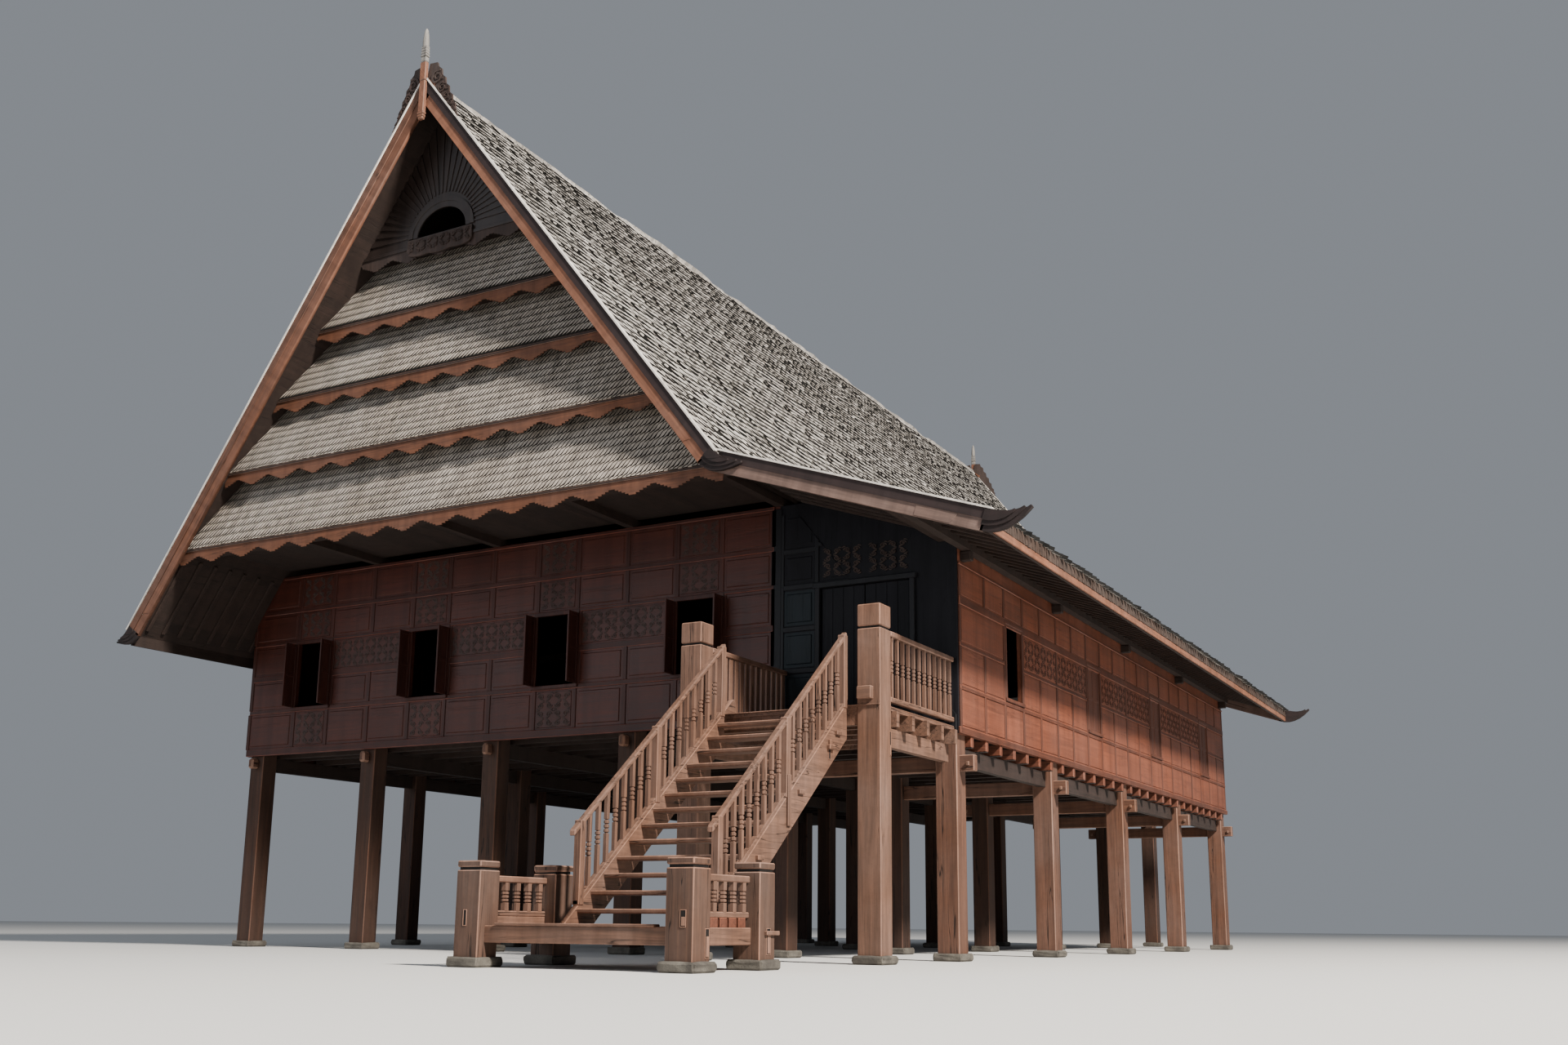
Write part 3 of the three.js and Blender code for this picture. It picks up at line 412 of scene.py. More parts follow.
def timber(name, colour, along="z", dark=0.45, grey=0.3, cell=None, spread_of_tones=0.25, cracks=0.6, rough=0.75,
           bump=0.35, size=1.0, gleam=0.3, turn=None):
    """A timber finish: grain, cracks, boards of their own tone, greyed patches and streaks of dirt."""
    tree = new_finish(name)
    place = put(tree, "TexCoord").outputs["Object"]
    if turn:
        axis, angle = turn
        place = put(tree, "VectorRotate", {"Vector": place, "Angle": angle}, rotation_type=axis).outputs[0]
    stretch = [value * size for value in ALONG[along]]
    groups = bpy.data.node_groups
    grain = put(tree, "Group", {0: place, 1: stretch, 2: cracks}, node_tree=groups["Timber grain"])
    age = put(tree, "Group", {0: place, 1: 1.0}, node_tree=groups["Weathering"])
    deep = tuple(channel * dark for channel in colour) + (1,)
    light = tuple(min(1, channel * 1.25) for channel in colour) + (1,)
    body = mixed(tree, ramp(tree, grain.outputs[0], 0.3, 0.72), deep, light)
    if cell:
        tones = put(tree, "Group", {0: place, 1: cell}, node_tree=groups["Board tones"])
        shift = maths(tree, "MULTIPLY", tones.outputs[0], spread_of_tones)
        body = mixed(tree, shift, body, tuple(channel * 0.35 for channel in colour) + (1,))
        body = mixed(tree, maths(tree, "MULTIPLY", tones.outputs[1], spread_of_tones * 0.8), body, light)
    mean = sum(colour) / 3
    ash = tuple(0.6 * channel + 1.1 * mean for channel in colour) + (1,)
    body = mixed(tree, maths(tree, "MULTIPLY", age.outputs[0], grey), body, ash)
    soot = tuple(channel * 0.3 for channel in colour) + (1,)
    body = mixed(tree, maths(tree, "MULTIPLY", age.outputs[1], 0.4), body, soot)
    body = mixed(tree, maths(tree, "MULTIPLY", age.outputs[2], 0.22), body, soot)
    body = mixed(tree, grain.outputs[1], body, tuple(channel * 0.12 for channel in colour) + (1,))
    rougher = maths(tree, "MULTIPLY_ADD", grain.outputs[0], 0.18, rough - 0.08)
    relief = put(tree, "Bump", {"Strength": bump, "Distance": 0.006, "Height": grain.outputs[2]}).outputs[0]
    surface = put(tree, "BsdfPrincipled", {"Base Color": body, "Roughness": rougher, "Normal": relief,
                                           "Specular IOR Level": gleam})
    put(tree, "OutputMaterial", {"Surface": surface.outputs[0]})


def stone(name):
    """Rough grey field stone with pale and rusty patches."""
    tree = new_finish(name)
    place = put(tree, "TexCoord").outputs["Object"]
    broad = put(tree, "TexNoise", {"Vector": place, "Scale": 5.0, "Detail": 4.0}).outputs[0]
    fine = put(tree, "TexNoise", {"Vector": place, "Scale": 60.0, "Detail": 6.0, "Roughness": 0.7}).outputs[0]
    pits = put(tree, "TexVoronoi", {"Vector": place, "Scale": 38.0}).outputs[0]
    body = mixed(tree, ramp(tree, broad, 0.35, 0.7), (0.05, 0.044, 0.037, 1), (0.13, 0.118, 0.098, 1))
    body = mixed(tree, ramp(tree, fine, 0.5, 0.8), body, (0.04, 0.035, 0.03, 1))
    height = maths(tree, "ADD", fine, maths(tree, "MULTIPLY", pits, 0.4))
    relief = put(tree, "Bump", {"Strength": 0.6, "Distance": 0.01, "Height": height}).outputs[0]
    surface = put(tree, "BsdfPrincipled", {"Base Color": body, "Roughness": 0.92, "Normal": relief})
    put(tree, "OutputMaterial", {"Surface": surface.outputs[0]})


def coat(piece, material, edge=None):
    """Gives a piece its material, and its eased edges a second one: worn wood on timbers, a painted highlight on wall
    frames and joist ends.
    """
    piece.data.materials.clear()
    piece.data.materials.append(MATERIALS[material])
    if edge:
        piece.data.materials.append(MATERIALS[edge])
        for face in piece.data.polygons:
            face.material_index = 1 if max(abs(c) for c in face.normal) < 0.96 else 0
    return piece


def worn(low, high, bevel, material):
    """A squared timber in its finish, with worn edges."""
    return coat(block(low, high, bevel), material, "worn edge")


def finish(piece, name, replaces=(), body="house"):
    """Names a finished piece, says which body it rides on and hides the nodes it stands for."""
    piece.name = name
    piece.data.name = name
    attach(piece, body)
    if replaces:
        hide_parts(*replaces)
    return piece


# --- Finishes ---------------------------------------------------------------------------------------------------

def make_finishes(colours):
    timber_grain()
    weathering()
    board_tones()
    def shade(colour, factor):
        return tuple(min(1, channel * factor) for channel in colour)
    post, pale, dark = tuple(colours.post), tuple(colours.pale), tuple(colours.dark)
    for way in "xyz":
        timber(f"post {way}", post, way, dark=0.5, grey=0.3, cracks=1.0, size=0.8, bump=0.5)
        timber(f"pale {way}", pale, way, dark=0.5, grey=0.3, cracks=0.9, bump=0.45)
    for way in "xy":
        # the dark colour is dark brown wood darkened further: painted shade under the floors and eaves
        timber(f"dark {way}", dark, way, dark=0.5, grey=0.25, cracks=0.4, bump=0.3)
    # darker copy of the post colour for the posts under the hall: painted shade
    timber("hall post painted shade z", shade(post, 0.42), "z", dark=0.5, grey=0.3, cracks=1.0, size=0.8, bump=0.5)
    # darker copy of the pale wood for the platform posts: painted shade
    timber("platform post painted shade", shade(pale, 0.6), "z", dark=0.5, grey=0.4, cracks=1.0, size=0.8, bump=0.5)
    timber("worn edge", shade(pale, 1.5), "z", dark=0.6, grey=0.4, cracks=0.3)
    # nearly black copy of the dark colour for mortise slots and sunk grooves: painted shade
    timber("painted hole shade", shade(dark, 0.2), "z", cracks=0.2)
    wall, side, entry = tuple(colours.wall), tuple(colours.side_wall), tuple(colours.entry)
    timber("wall frame", shade(wall, 0.75), "x", grey=0.2, cracks=0.3, rough=0.55)
    timber("wall stile", shade(wall, 0.75), "z", grey=0.2, cracks=0.3, rough=0.55)
    # the hall wall colour is dark red-brown wood darkened further: painted shade of the overhang
    timber("wall panel", wall, "x", dark=0.55, grey=0.12, cracks=0.35, cell=(0.85, 5, 0.6), spread_of_tones=0.4,
           rough=0.5)
    # much lighter copy of the wall colour for the eased edges of the hall wall frames: painted highlight
    timber("wall edge painted highlight", shade(wall, 2.6), "x", dark=0.6, grey=0.6, cracks=0.3)
    timber("side frame", shade(side, 0.55), "y", grey=0.25, cracks=0.3, rough=0.62)
    timber("side stile", shade(side, 0.55), "z", grey=0.25, cracks=0.3, rough=0.62)
    timber("side panel", side, "y", dark=0.55, grey=0.15, cracks=0.4, cell=(5, MODULE, 0.55), spread_of_tones=0.45,
           rough=0.6)
    # lighter copy of the aisle wall colour for the eased edges of its frames and joist ends: painted highlight
    timber("side edge painted highlight", shade(side, 1.3), "y", dark=0.7, grey=0.4, cracks=0.3)
    timber("joist end", shade(side, 0.7), "x", dark=0.6, grey=0.3, cracks=0.6)
    # nearly black copy of the aisle wall colour for the sunk rims of plain panels: painted shadow
    timber("groove", shade(side, 0.06), "y", cracks=0.1)
    # the entry colour is dark wood darkened further and tinted blue: painted shade under the porch roof
    timber("entry panel", entry, "z", dark=0.6, grey=0.3, cracks=0.35, cell=(0.5, 5, 0.6), rough=0.6, gleam=0.12)
    # dark wood tinted blue green for the panels by the door: painted reflection of the sky
    timber("entry panel painted sky reflection", tuple(colours.entry_panel_sky_reflection), "z", dark=0.6, grey=0.3, cracks=0.35, cell=(0.5, 5, 0.6),
           rough=0.55, gleam=0.2)
    timber("entry frame", shade(entry, 0.8), "z", dark=0.6, grey=0.3, cracks=0.3, rough=0.55, gleam=0.2)
    timber("carving", tuple(colours.carving), "z", dark=0.4, grey=0.5, cracks=0.2, bump=0.5)
    timber("side carving", shade(side, 0.4), "z", dark=0.4, grey=0.4, cracks=0.2)
    timber("shingle", tuple(colours.shingle), "x", dark=0.4, grey=0.3, cell=(0.22, 0.137, 0.3),
           spread_of_tones=0.75, cracks=0.9, rough=0.9, bump=0.6)
    # nearly black copy of the shingle colour for the butt faces: painted shadow under each course
    timber("shingle end painted shadow", shade(colours.shingle, 0.014), "z", dark=0.4, grey=0.3, cracks=0.5, rough=0.95)
    timber("butts", (0.055, 0.033, 0.024), "z", dark=0.3, grey=0.5, cell=(5, 0.045, 5), spread_of_tones=0.9,
           cracks=0.8, rough=0.9, bump=0.6)
    # lighter copy of the shingle colour for the ridge cap and the rakes' top edges: painted highlight
    timber("verge painted highlight", shade(colours.shingle, 1.3), "x", dark=0.8, grey=0.3, cracks=0.3, rough=0.8)
    timber("gable shingle", tuple(colours.gable), "z", dark=0.5, grey=0.35, cell=(0.075, 5, 0.124),
           spread_of_tones=0.4, cracks=0.6, rough=0.8, bump=0.45)
    # nearly black copy of the gable colour for shingle edges and the backing: painted shadow in the gaps
    timber("gable gap painted shadow", shade(colours.gable, 0.035), "z", cracks=0.2)
    rake, band = tuple(colours.rake), tuple(colours.rake_band)
    falls = {"left": math.atan(LEFT_RISE), "right": -math.atan(RIGHT_RISE), "aisle": -math.atan(AISLE_FALL)}
    for side_name, angle in falls.items():
        # the left slope's rake board gets a darker copy of the rake colour: painted shade
        painted_light = 0.75 if side_name == "left" else 1.0
        turn = ("Y_AXIS", angle)
        tone = tuple(0.45 * channel + 0.055 for channel in rake) if side_name == "aisle" else shade(rake, painted_light)
        timber(f"rake {side_name}", tone, "x", dark=0.55, grey=0.2, cracks=0.7, size=0.7, turn=turn)
        timber(f"band {side_name}", shade(rake, 0.55) if side_name == "left" else band, "x", dark=0.6, grey=0.3,
               cracks=0.6, size=0.7, turn=turn)
    timber("rake tip", shade(band, 0.7), "x", dark=0.6, grey=0.3, cracks=0.9, size=0.6)
    timber("fascia", rake, "y", dark=0.6, grey=0.2, cracks=0.7, size=0.7, rough=0.7)
    timber("valance", tuple(colours.valance), "x", dark=0.6, grey=0.2, cracks=0.4, size=0.8)
    timber("burst", shade(colours.carving, 0.5), "z", dark=0.4, grey=0.3, cracks=0.4, rough=0.5, gleam=0.4)
    timber("crest", tuple(colours.carving), "z", dark=0.4, grey=0.6, cracks=0.2, bump=0.5)
    timber("spire", shade(colours.shingle, 0.45), "z", dark=0.5, grey=0.4, cracks=0.6)
    timber("roof lining", shade(dark, 0.8), "y", dark=0.5, grey=0.2, cell=(0.2, 30, 5), spread_of_tones=0.5)
    timber("floor lining", dark, "y", dark=0.5, grey=0.3, cell=(0.22, 30, 5), spread_of_tones=0.5)
    stone("stone")


# The finish of each node of the frame
CAD_FINISHES = {
    "post z": [f"post_row_{i}" for i in range(1, 7)],
    # the linings under the roof and floors and the aisle purlin take the dark finishes: painted shade
    "roof lining": ["roof_left", "roof_right", "roof_aisle", "soffit_front", "soffit_back"],
    "floor lining": ["hall_floor", "aisle_floor"],
    "pale y": ["porch_floor", "platform_floor"],
    "verge painted highlight": ["ridge_cap"],
    "wall panel": ["front_wall_lower", "front_wall_upper", "left_wall", "back_wall", "hall_side_wall",
                   "aisle_back_wall", *(f"window_{i}" for i in range(1, 5)),
                   *(f"front_wall_pier_{i}" for i in range(1, 6))],
    "side panel": ["side_wall_front", "side_wall_back"],
    "entry panel": ["entry_wall_left", "entry_wall_right", "entry_wall_over", "door_leaf_left", "door_leaf_right"],
    "dark y": ["aisle_purlin"],
    "rake right": [f"bargeboard_{e}_{s}" for e in ("front", "back") for s in ("left", "right", "aisle")],
    "carving": ["gable_front_sunburst", "peak_front", "peak_back"],
    "gable shingle": [f"gable_front_tier_{i}" for i in range(1, 5)] + ["gable_back"],
    "pale z": ["porch_side_left", "porch_side_right", "stair_flight", "stair_rail_left", "stair_rail_right",
               "platform_frame"],
}


def coat_frame():
    for material, nodes in CAD_FINISHES.items():
        for node in nodes:
            coat(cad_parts[node], material)


# --- Posts, ties and floors -------------------------------------------------------------------------------------

def stone_pad(seed):
    pad = block((-0.2, -0.2, 0.0), (0.2, 0.2, 0.1), 0.02)
    edit(pad)
    bpy.ops.mesh.subdivide(number_cuts=1)
    done()
    roughened(pad, 0.012, seed, lambda co, normal: co.z > 0.03)
    return coat(pad, "stone")


def post(top, material, edge):
    return coat(block((-POST_HALF, -POST_HALF, 0.085), (POST_HALF, POST_HALF, top), 0.012), material, edge)


def post_rows():
    pads = [stone_pad(seed) for seed in range(5)]
    tall, low = post(HALL_TOP, "hall post painted shade z", "post z"), post(AISLE_TOP, "hall post painted shade z", "post z")
    outer = post(AISLE_TOP, "post z", "worn edge")
    for index in range(6):
        y = index * ROW
        aisle = index < 5
        columns = COLUMNS + ([0.0] if aisle else [])
        right = (0.0 if aisle else COLUMNS[4]) + POST_HALF
        left = COLUMNS[0] - POST_HALF
        pieces = []
        for number, x in enumerate(columns):
            pieces.append(moved(pads[(number * 3 + index) % 5], x, y))
            pieces.append(moved({0: low, 5: outer}.get(number, tall), x, y))
        ties = [(COLUMNS[4] - 0.35, right + 0.2, 2.39, 2.6)] if aisle else []
        ties += [
            (left, right + (0.2 if aisle else 0), 5.18, AISLE_TOP),
            (COLUMNS[1], COLUMNS[4] + POST_HALF, 6.11, HALL_TOP),
        ]
        for x0, x1, z0, z1 in ties:
            tie = block((x0, y - 0.06, z0), (x1, y + 0.06, z1), 0.01)
            # the ties up under the eaves take the dark finish instead of the post one: painted shade
            pieces.append(coat(tie, "post x", "worn edge") if z0 < 3 else coat(tie, "dark x"))
        peg = worn((-0.018, -0.1, 2.46), (0.018, 0.1, 2.51), 0.004, "pale y")
        for x, _, z, _ in ties:
            if z < 3:
                pieces += [moved(peg, x + 0.08, y), moved(peg, right + 0.12, y)]
        drop(peg)
        finish(joined(pieces), f"posts_and_ties_{index + 1}", [f"post_row_{index + 1}"])
    for piece in (*pads, tall, low, outer):
        drop(piece)


def floor_timbers():
    """Joists under the hall, bearer and joist ends, the plate under the porch roof and the riser at the hall."""
    joist = coat(block((-12.79, -0.04, 3.15), (-2.32, 0.04, 3.259), 0.008), "dark x")
    places = [(0, (i + 0.5) * ROW / 7) for i in range(35) if i % 7 not in (1, 3, 5)]
    finish(spread(joist, places), "hall_joists")
    end = coat(block((-0.05, -0.045, 2.73), (0.206, 0.045, 2.872), 0.008), "joist end", "side edge painted highlight")
    places = [(0, (i + 0.5) * ROW / 7) for i in range(28)]
    finish(spread(end, places), "aisle_joist_ends")
    heads = []
    for x in COLUMNS[:-1]:
        heads.append(worn((x - 0.055, -0.3, 2.95), (x + 0.055, -0.14, 3.12), 0.03, "post y"))
    finish(joined(heads), "bearer_ends_front")
    plate = block((-0.05, RAKE + 0.12, 5.43), (0.05, FRONT, 5.535), 0.008)
    finish(coat(plate, "dark y"), "porch_plate")
    riser = block((-2.308, -0.14, 2.945), (-2.286, 15.06, 3.298), 0.004)
    finish(coat(riser, "dark y"), "hall_floor_riser")


# --- Walls ------------------------------------------------------------------------------------------------------

def wall_place(side):
    """From a wall's own frame (along, in, up) to the model; its outer face looks to -Y there."""
    turns = {"front": (0, (0, FRONT, 0)), "right": (90, (SIDE, 0, 0)), "left": (-90, (LEFT, 0, 0)),
             "back": (180, (0, BACK, 0)), "aisle back": (180, (0, AISLE_BACK, 0)),
             "hall side": (90, (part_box("hall_side_wall")[1].x, 0, 0))}
    angle, place = turns[side]
    return Matrix.Translation(place) @ Matrix.Rotation(math.radians(angle), 4, "Z")


PANELS = {}
# The eased edges of the wall frames take lighter finishes: painted highlights
EDGES = {"wall frame": "wall edge painted highlight", "side frame": "side edge painted highlight"}


def panel(width, height, fielded):
    """A wall panel centred on the origin, with a raised field or plain with an eased rim."""
    key = (round(width, 3), round(height, 3), fielded)
    if key not in PANELS:
        piece = block((-width / 2, -0.006, -height / 2), (width / 2, 0.002, height / 2), 0)
        edit(piece)
        pick(piece, lambda centre, normal: normal.y < -0.9)
        if fielded:
            bpy.ops.mesh.inset(thickness=min(0.04, 0.15 * min(width, height)), depth=0.0)
            bpy.ops.mesh.inset(thickness=0.012, depth=0.013)
            bpy.ops.mesh.inset(thickness=0.006, depth=0.0)
            done()
        else:
            bpy.ops.mesh.inset(thickness=0.019, depth=0.0)
            bpy.ops.mesh.inset(thickness=0.006, depth=0.009)
            done()
            # the sunk rim of a plain panel takes the second slot, the groove finish: painted shadow
            for face in piece.data.polygons:
                inner = min(width / 2 - abs(face.center.x), height / 2 - abs(face.center.z))
                face.material_index = int(inner < 0.015 and face.normal.y < -0.3)
        PANELS[key] = piece
    return PANELS[key]


def spiral(radius, turns=1.5, steps=15, start=0.0, thick=0.17):
    """The outline of a tapering scroll, wound inwards from its outer end."""
    outer, inner = [], []
    for i in range(steps + 1):
        t = i / steps
        r = radius * (1 - 0.8 * t)
        w = radius * thick * (1 - 0.55 * t)
        angle = start + 2 * math.pi * turns * t
        outer.append(((r + w) * math.cos(angle), (r + w) * math.sin(angle)))
        inner.append(((r - w) * math.cos(angle), (r - w) * math.sin(angle)))
    return outer + inner[::-1]


def leaf(length, width, bend=0.3):
    points = []
    for i in range(7):
        t = i / 6
        points.append((length * t, bend * length * t * t + width * math.sin(math.pi * t) ** 0.8))
    for i in range(5, 0, -1):
        t = i / 6
        points.append((length * t, bend * length * t * t - width * 0.35 * math.sin(math.pi * t)))
    return points


def carved_unit():
    """Four mirrored scrolls with leaves, filling a square of side 1 centred on the origin."""
    scroll = outline(spiral(0.17), 0.03, Matrix.Translation((0.25, 0, 0.24)))
    blade = outline(leaf(0.24, 0.06), 0.025, Matrix.Translation((0.04, 0, 0.03)))
    spray = outline(leaf(0.2, 0.05, -0.4), 0.03, Matrix.Translation((0.3, 0, 0.47)))
    berry = outline([(0.045 * math.cos(a * math.pi / 3), 0.045 * math.sin(a * math.pi / 3)) for a in range(6)],
                    0.035, Matrix.Translation((0.25, 0, 0.24)))
    quarter = joined([scroll, blade, spray, berry])
    whole = [quarter]
    for sx, sz in ((-1, 1), (1, -1), (-1, -1)):
        twin = copy_of(quarter, Matrix.Diagonal((sx, 1, sz, 1)))
        whole.append(flipped(twin) if sx * sz < 0 else twin)
    return joined(whole)


def carved_field(unit, width, height):
    """Carving that fills a panel: copies of the unit, set side by side and scaled to it."""
    pitch = 0.27
    across = max(1, round(width / pitch))
    up = max(1, round(height / pitch))
    cell_x, cell_z = width / across, height / up
    field = copy_of(unit, Matrix.Diagonal((cell_x, 0.55, cell_z, 1)))
    row_of(field, across, (cell_x, 0, 0))
    row_of(field, up, (0, 0, cell_z))
    return shifted(field, -(width - cell_x) / 2, -0.022, -(height - cell_z) / 2)


def strip(low, high, proud):
    """A rail or stile in a wall's own frame, between two corners given along and up."""
    return block((low[0], -proud, low[1]), (high[0], 0.002, high[1]), 0.007)


def facade(name, side, cells, stiles, rails, finishes, unit, fielded=True):
    """Panels, carving and the frame in front of one wall, all given along the wall and upwards."""
    place = wall_place(side)
    frame_finish, stile_finish, panel_finish, carving_finish = finishes
    panels, carvings, frames = [], [], []
    for u0, u1, z0, z1, kind in cells:
        at = place @ Matrix.Translation(((u0 + u1) / 2, 0, (z0 + z1) / 2))
        panels.append(copy_of(panel(u1 - u0, z1 - z0, fielded and kind != "carved"), at))
        if kind == "carved":
            field = carved_field(unit, u1 - u0 - 0.05, z1 - z0 - 0.05)
            field.data.transform(at)
            carvings.append(field)
    for u, z0, z1, width in stiles:
        piece = strip((u - width / 2, z0), (u + width / 2, z1), 0.02)
        piece.data.transform(place)
        frames.append(coat(piece, stile_finish))
    for u0, u1, z0, z1, proud in rails:
        piece = strip((u0, z0), (u1, z1), proud)
        piece.data.transform(place)
        frames.append(coat(piece, frame_finish, EDGES.get(frame_finish)))
    whole = coat(joined(panels), panel_finish)
    whole.data.materials.append(MATERIALS["groove"])
    pieces = [(whole, f"{name}_panels"), (joined(frames), f"{name}_frame")]
    if carvings:
        pieces.append((coat(joined(carvings), carving_finish), f"{name}_carving"))
    for piece, title in pieces:
        if side in ("front", "back") and not title.endswith("carving"):
            trimmed_to_roof(piece, 0.16)
        finish(piece, title)


def between(edges, z0, z1, kinds, gap):
    """Cells between neighbouring edges, each kept half a stile away from them."""
    cells = []
    for (u0, u1), kind in zip(zip(edges, edges[1:]), kinds):
        if kind != "window":
            cells.append((u0 + gap / 2, u1 - gap / 2, z0, z1, kind))
    return cells


def hall_wall(name, side, columns, windows, ends, finishes, unit, top=HALL_TOP):
    """A wall of the hall: up to five rows of panels below its top, the middle ones broken by the windows."""
    narrow = 0.38
    edges = [ends[0]]
    for index, window in enumerate(windows):
        edges += [window - narrow, window + narrow]
        edges.append(columns[index + 1] - 0.03 if index < len(windows) - 1 else ends[1])
    kinds = ["plain", "carved", "plain"] * len(windows)
    gap = 0.07
    cells, stiles = [], []
    for z0, z1 in (HALL_ROWS[0], *HALL_ROWS[3:]):
        if z1 < top:
            cells += between(edges, z0, z1, kinds, gap)
            stiles += [(u, z0 - 0.01, z1 + 0.01, gap) for u in edges]
    low, high = HALL_ROWS[1:3]
    rails = []
    for index in range(len(windows) + 1):
        u0 = ends[0] if index == 0 else windows[index - 1] + 0.42
        u1 = ends[1] if index == len(windows) else windows[index] - 0.42
        inner = 0 < index < len(windows)
        middle = [columns[index] - 0.03] if inner else []
        parts = [u0, *middle, u1]
        cells += between(parts, *low, ["plain"] * 2, gap)
        cells += between([u0, u1], *high, ["carved" if inner else "plain"], gap)
        stiles += [(u, 3.94, 5.05, gap) for u in (u0 + 0.01, u1 - 0.01)] + [(u, 3.94, 4.44, gap) for u in middle]
        rails.append((u0, u1, 4.43, 4.53, 0.022))
    for z0, z1, proud in ((3.16, 3.275, 0.035), (3.87, 3.94, 0.024), (5.045, 5.095, 0.024), (5.585, 5.655, 0.024),
                          (6.19, 6.24, 0.03)):
        if z1 <= top:
            rails.append((*ends, z0, z1, proud))
    facade(name, side, cells, stiles, rails, finishes, unit)


def side_wall(unit):
    """The aisle's long wall: twenty modules in four rows, with a window in every fifth."""
    edges = [-0.12] + [i * MODULE for i in range(1, 20)] + [15.03]
    gap = 0.06
    kinds = ["window" if i % 5 == 2 else "plain" for i in range(20)]
    foot, low, high, top, _ = AISLE_ROWS
    cells = between(edges, *foot, ["plain"] * 20, gap) + between(edges, *low, kinds, gap)
    cells += between(edges, *top, ["plain"] * 20, gap)
    stiles = [(u, 2.95, 3.46, gap) for u in edges] + [(u, 3.5, 4.03, gap) for u in edges]
    stiles += [(u, 4.69, 5.12, gap) for u in edges]
    band = [0, 2, 3, 5, 7, 8, 10, 12, 13, 15, 17, 18, 20]
    band_kinds = ["plain", "window", "carved", "carved", "window", "carved", "carved", "window", "carved", "carved",
                  "window", "plain"]
    band_edges = [edges[i] for i in band]
    cells += between(band_edges, *high, band_kinds, gap)
    stiles += [(u, 4.07, 4.58, gap) for u in band_edges]
    rails = [(-0.2, 15.1, 2.87, 2.955, 0.035), (-0.15, 15.07, 3.455, 3.505, 0.024), (-0.15, 15.07, 4.58, 4.695, 0.024),
             (-0.15, 15.07, 5.115, 5.15, 0.03)]
    spans = [(-0.15, edges[2]), (edges[3], edges[7]), (edges[8], edges[12]), (edges[13], edges[17]),
             (edges[18], 15.07)]
    rails += [(u0, u1, 4.025, 4.075, 0.022) for u0, u1 in spans]
    facade("side_wall", "right", cells, stiles, rails, ("side frame", "side stile", "side panel", "side carving"),
           unit, fielded=False)


def other_walls(unit):
    """The walls that the hall turns to the left, to the back and behind the aisle."""
    wall = ("wall frame", "wall stile", "wall panel", "carving")
    bays = [-(i + 0.5) * ROW for i in range(4, -1, -1)]
    hall_wall("left_wall", "left", [-(5 - i) * ROW for i in range(6)], bays, (-18.8, 0.15), wall, unit, 5.2)
    back = sorted(-x for x in WINDOWS)
    hall_wall("back_wall", "back", sorted(-x for x in COLUMNS), back, (2.31, 12.84), wall, unit)
    edges = [-0.15, 0.7, 1.45, 2.2]
    cells = [cell for z0, z1 in AISLE_ROWS for cell in between(edges, z0, z1, ["plain"] * 3, 0.06)]
    stiles = [(u, 2.9, 5.6, 0.06) for u in edges]
    rails = [(-0.18, 2.26, z1 + 0.005, z1 + 0.055, 0.024) for _, z1 in AISLE_ROWS]
    rails.append((-0.2, 2.26, 2.87, 2.955, 0.035))
    facade("aisle_back_wall", "aisle back", cells, stiles, rails, wall, unit)
    edges = [15.2, 16.05, 16.95, 17.85, 18.72]
    cells = [cell for z0, z1 in HALL_ROWS for cell in between(edges, z0, z1, ["plain"] * 4, 0.07)]
    stiles = [(u, 3.2, 6.2, 0.07) for u in edges]
    rails = [(15.13, 18.76, z1 + 0.01, z1 + 0.07, 0.024) for _, z1 in HALL_ROWS]
    rails.append((15.13, 18.76, 3.16, 3.275, 0.035))
    facade("hall_side_wall", "hall side", cells, stiles, rails, wall, unit)


def entry_walls(unit):
    """Panels beside and over the doorway, the corner board of the hall and the door frame."""
    left, right, top = -1.802, -0.458, 4.975
    teal = [(-2.375, -1.895, z0, z1, "plain") for z0, z1 in ((3.0, 3.24), (3.33, 3.8), (3.9, 4.39), (4.49, 4.98))]
    stile = [(-2.4, 2.95, 5.05, 0.05)]
    facade("entry_left", "front", teal, stile, [], ("entry frame", "entry frame", "entry panel painted sky reflection", "carving"),
           unit)
    cells = [(-2.375, -1.895, z0, z1, "plain") for z0, z1 in ((5.09, 5.5), (5.6, 6.08))]
    cells += [(-1.79, -1.15, 5.1, 5.56, "carved"), (-1.09, -0.46, 5.1, 5.56, "carved"),
              (-1.79, -0.46, 5.66, 5.9, "plain")]
    cells += [(-0.345, 0.085, z0, z1, "plain") for z0, z1 in ((3.0, 3.38), (3.46, 3.88), (3.96, 4.44), (4.52, 4.99))]
    cells += [(-0.345, 0.085, 5.1, 5.36, "plain")]
    stiles = [(-2.5, 2.9, 6.2, 0.16), (-2.4, 5.05, 6.1, 0.05), (-1.86, 2.95, 6.15, 0.06), (-0.4, 2.95, 5.62, 0.06),
              (0.13, 2.9, 5.4, 0.1), (-1.12, 5.05, 5.6, 0.06)]
    rails = [(-2.42, -1.86, z, z + 0.07, 0.018) for z in (2.925, 3.25, 3.815, 4.405, 5.0, 5.515)]
    rails += [(-0.4, 0.12, z, z + 0.06, 0.018) for z in (2.925, 3.39, 3.89, 4.45, 5.01)]
    rails += [(-1.9, -0.36, 5.0, 5.07, 0.03), (-1.87, -0.38, 5.58, 5.64, 0.022)]
    facade("entry_wall", "front", cells, stiles, rails, ("entry frame", "entry frame", "entry panel", "carving"),
           unit)
    casing = [
        strip((left - 0.075, 2.94), (left, top + 0.06), 0.045),
        strip((right, 2.94), (right + 0.075, top + 0.06), 0.045),
        strip((left - 0.1, top), (right + 0.1, top + 0.075), 0.055),
    ]
    for piece in casing:
        piece.data.transform(wall_place("front"))
    finish(coat(joined(casing), "entry frame"), "door_casing")


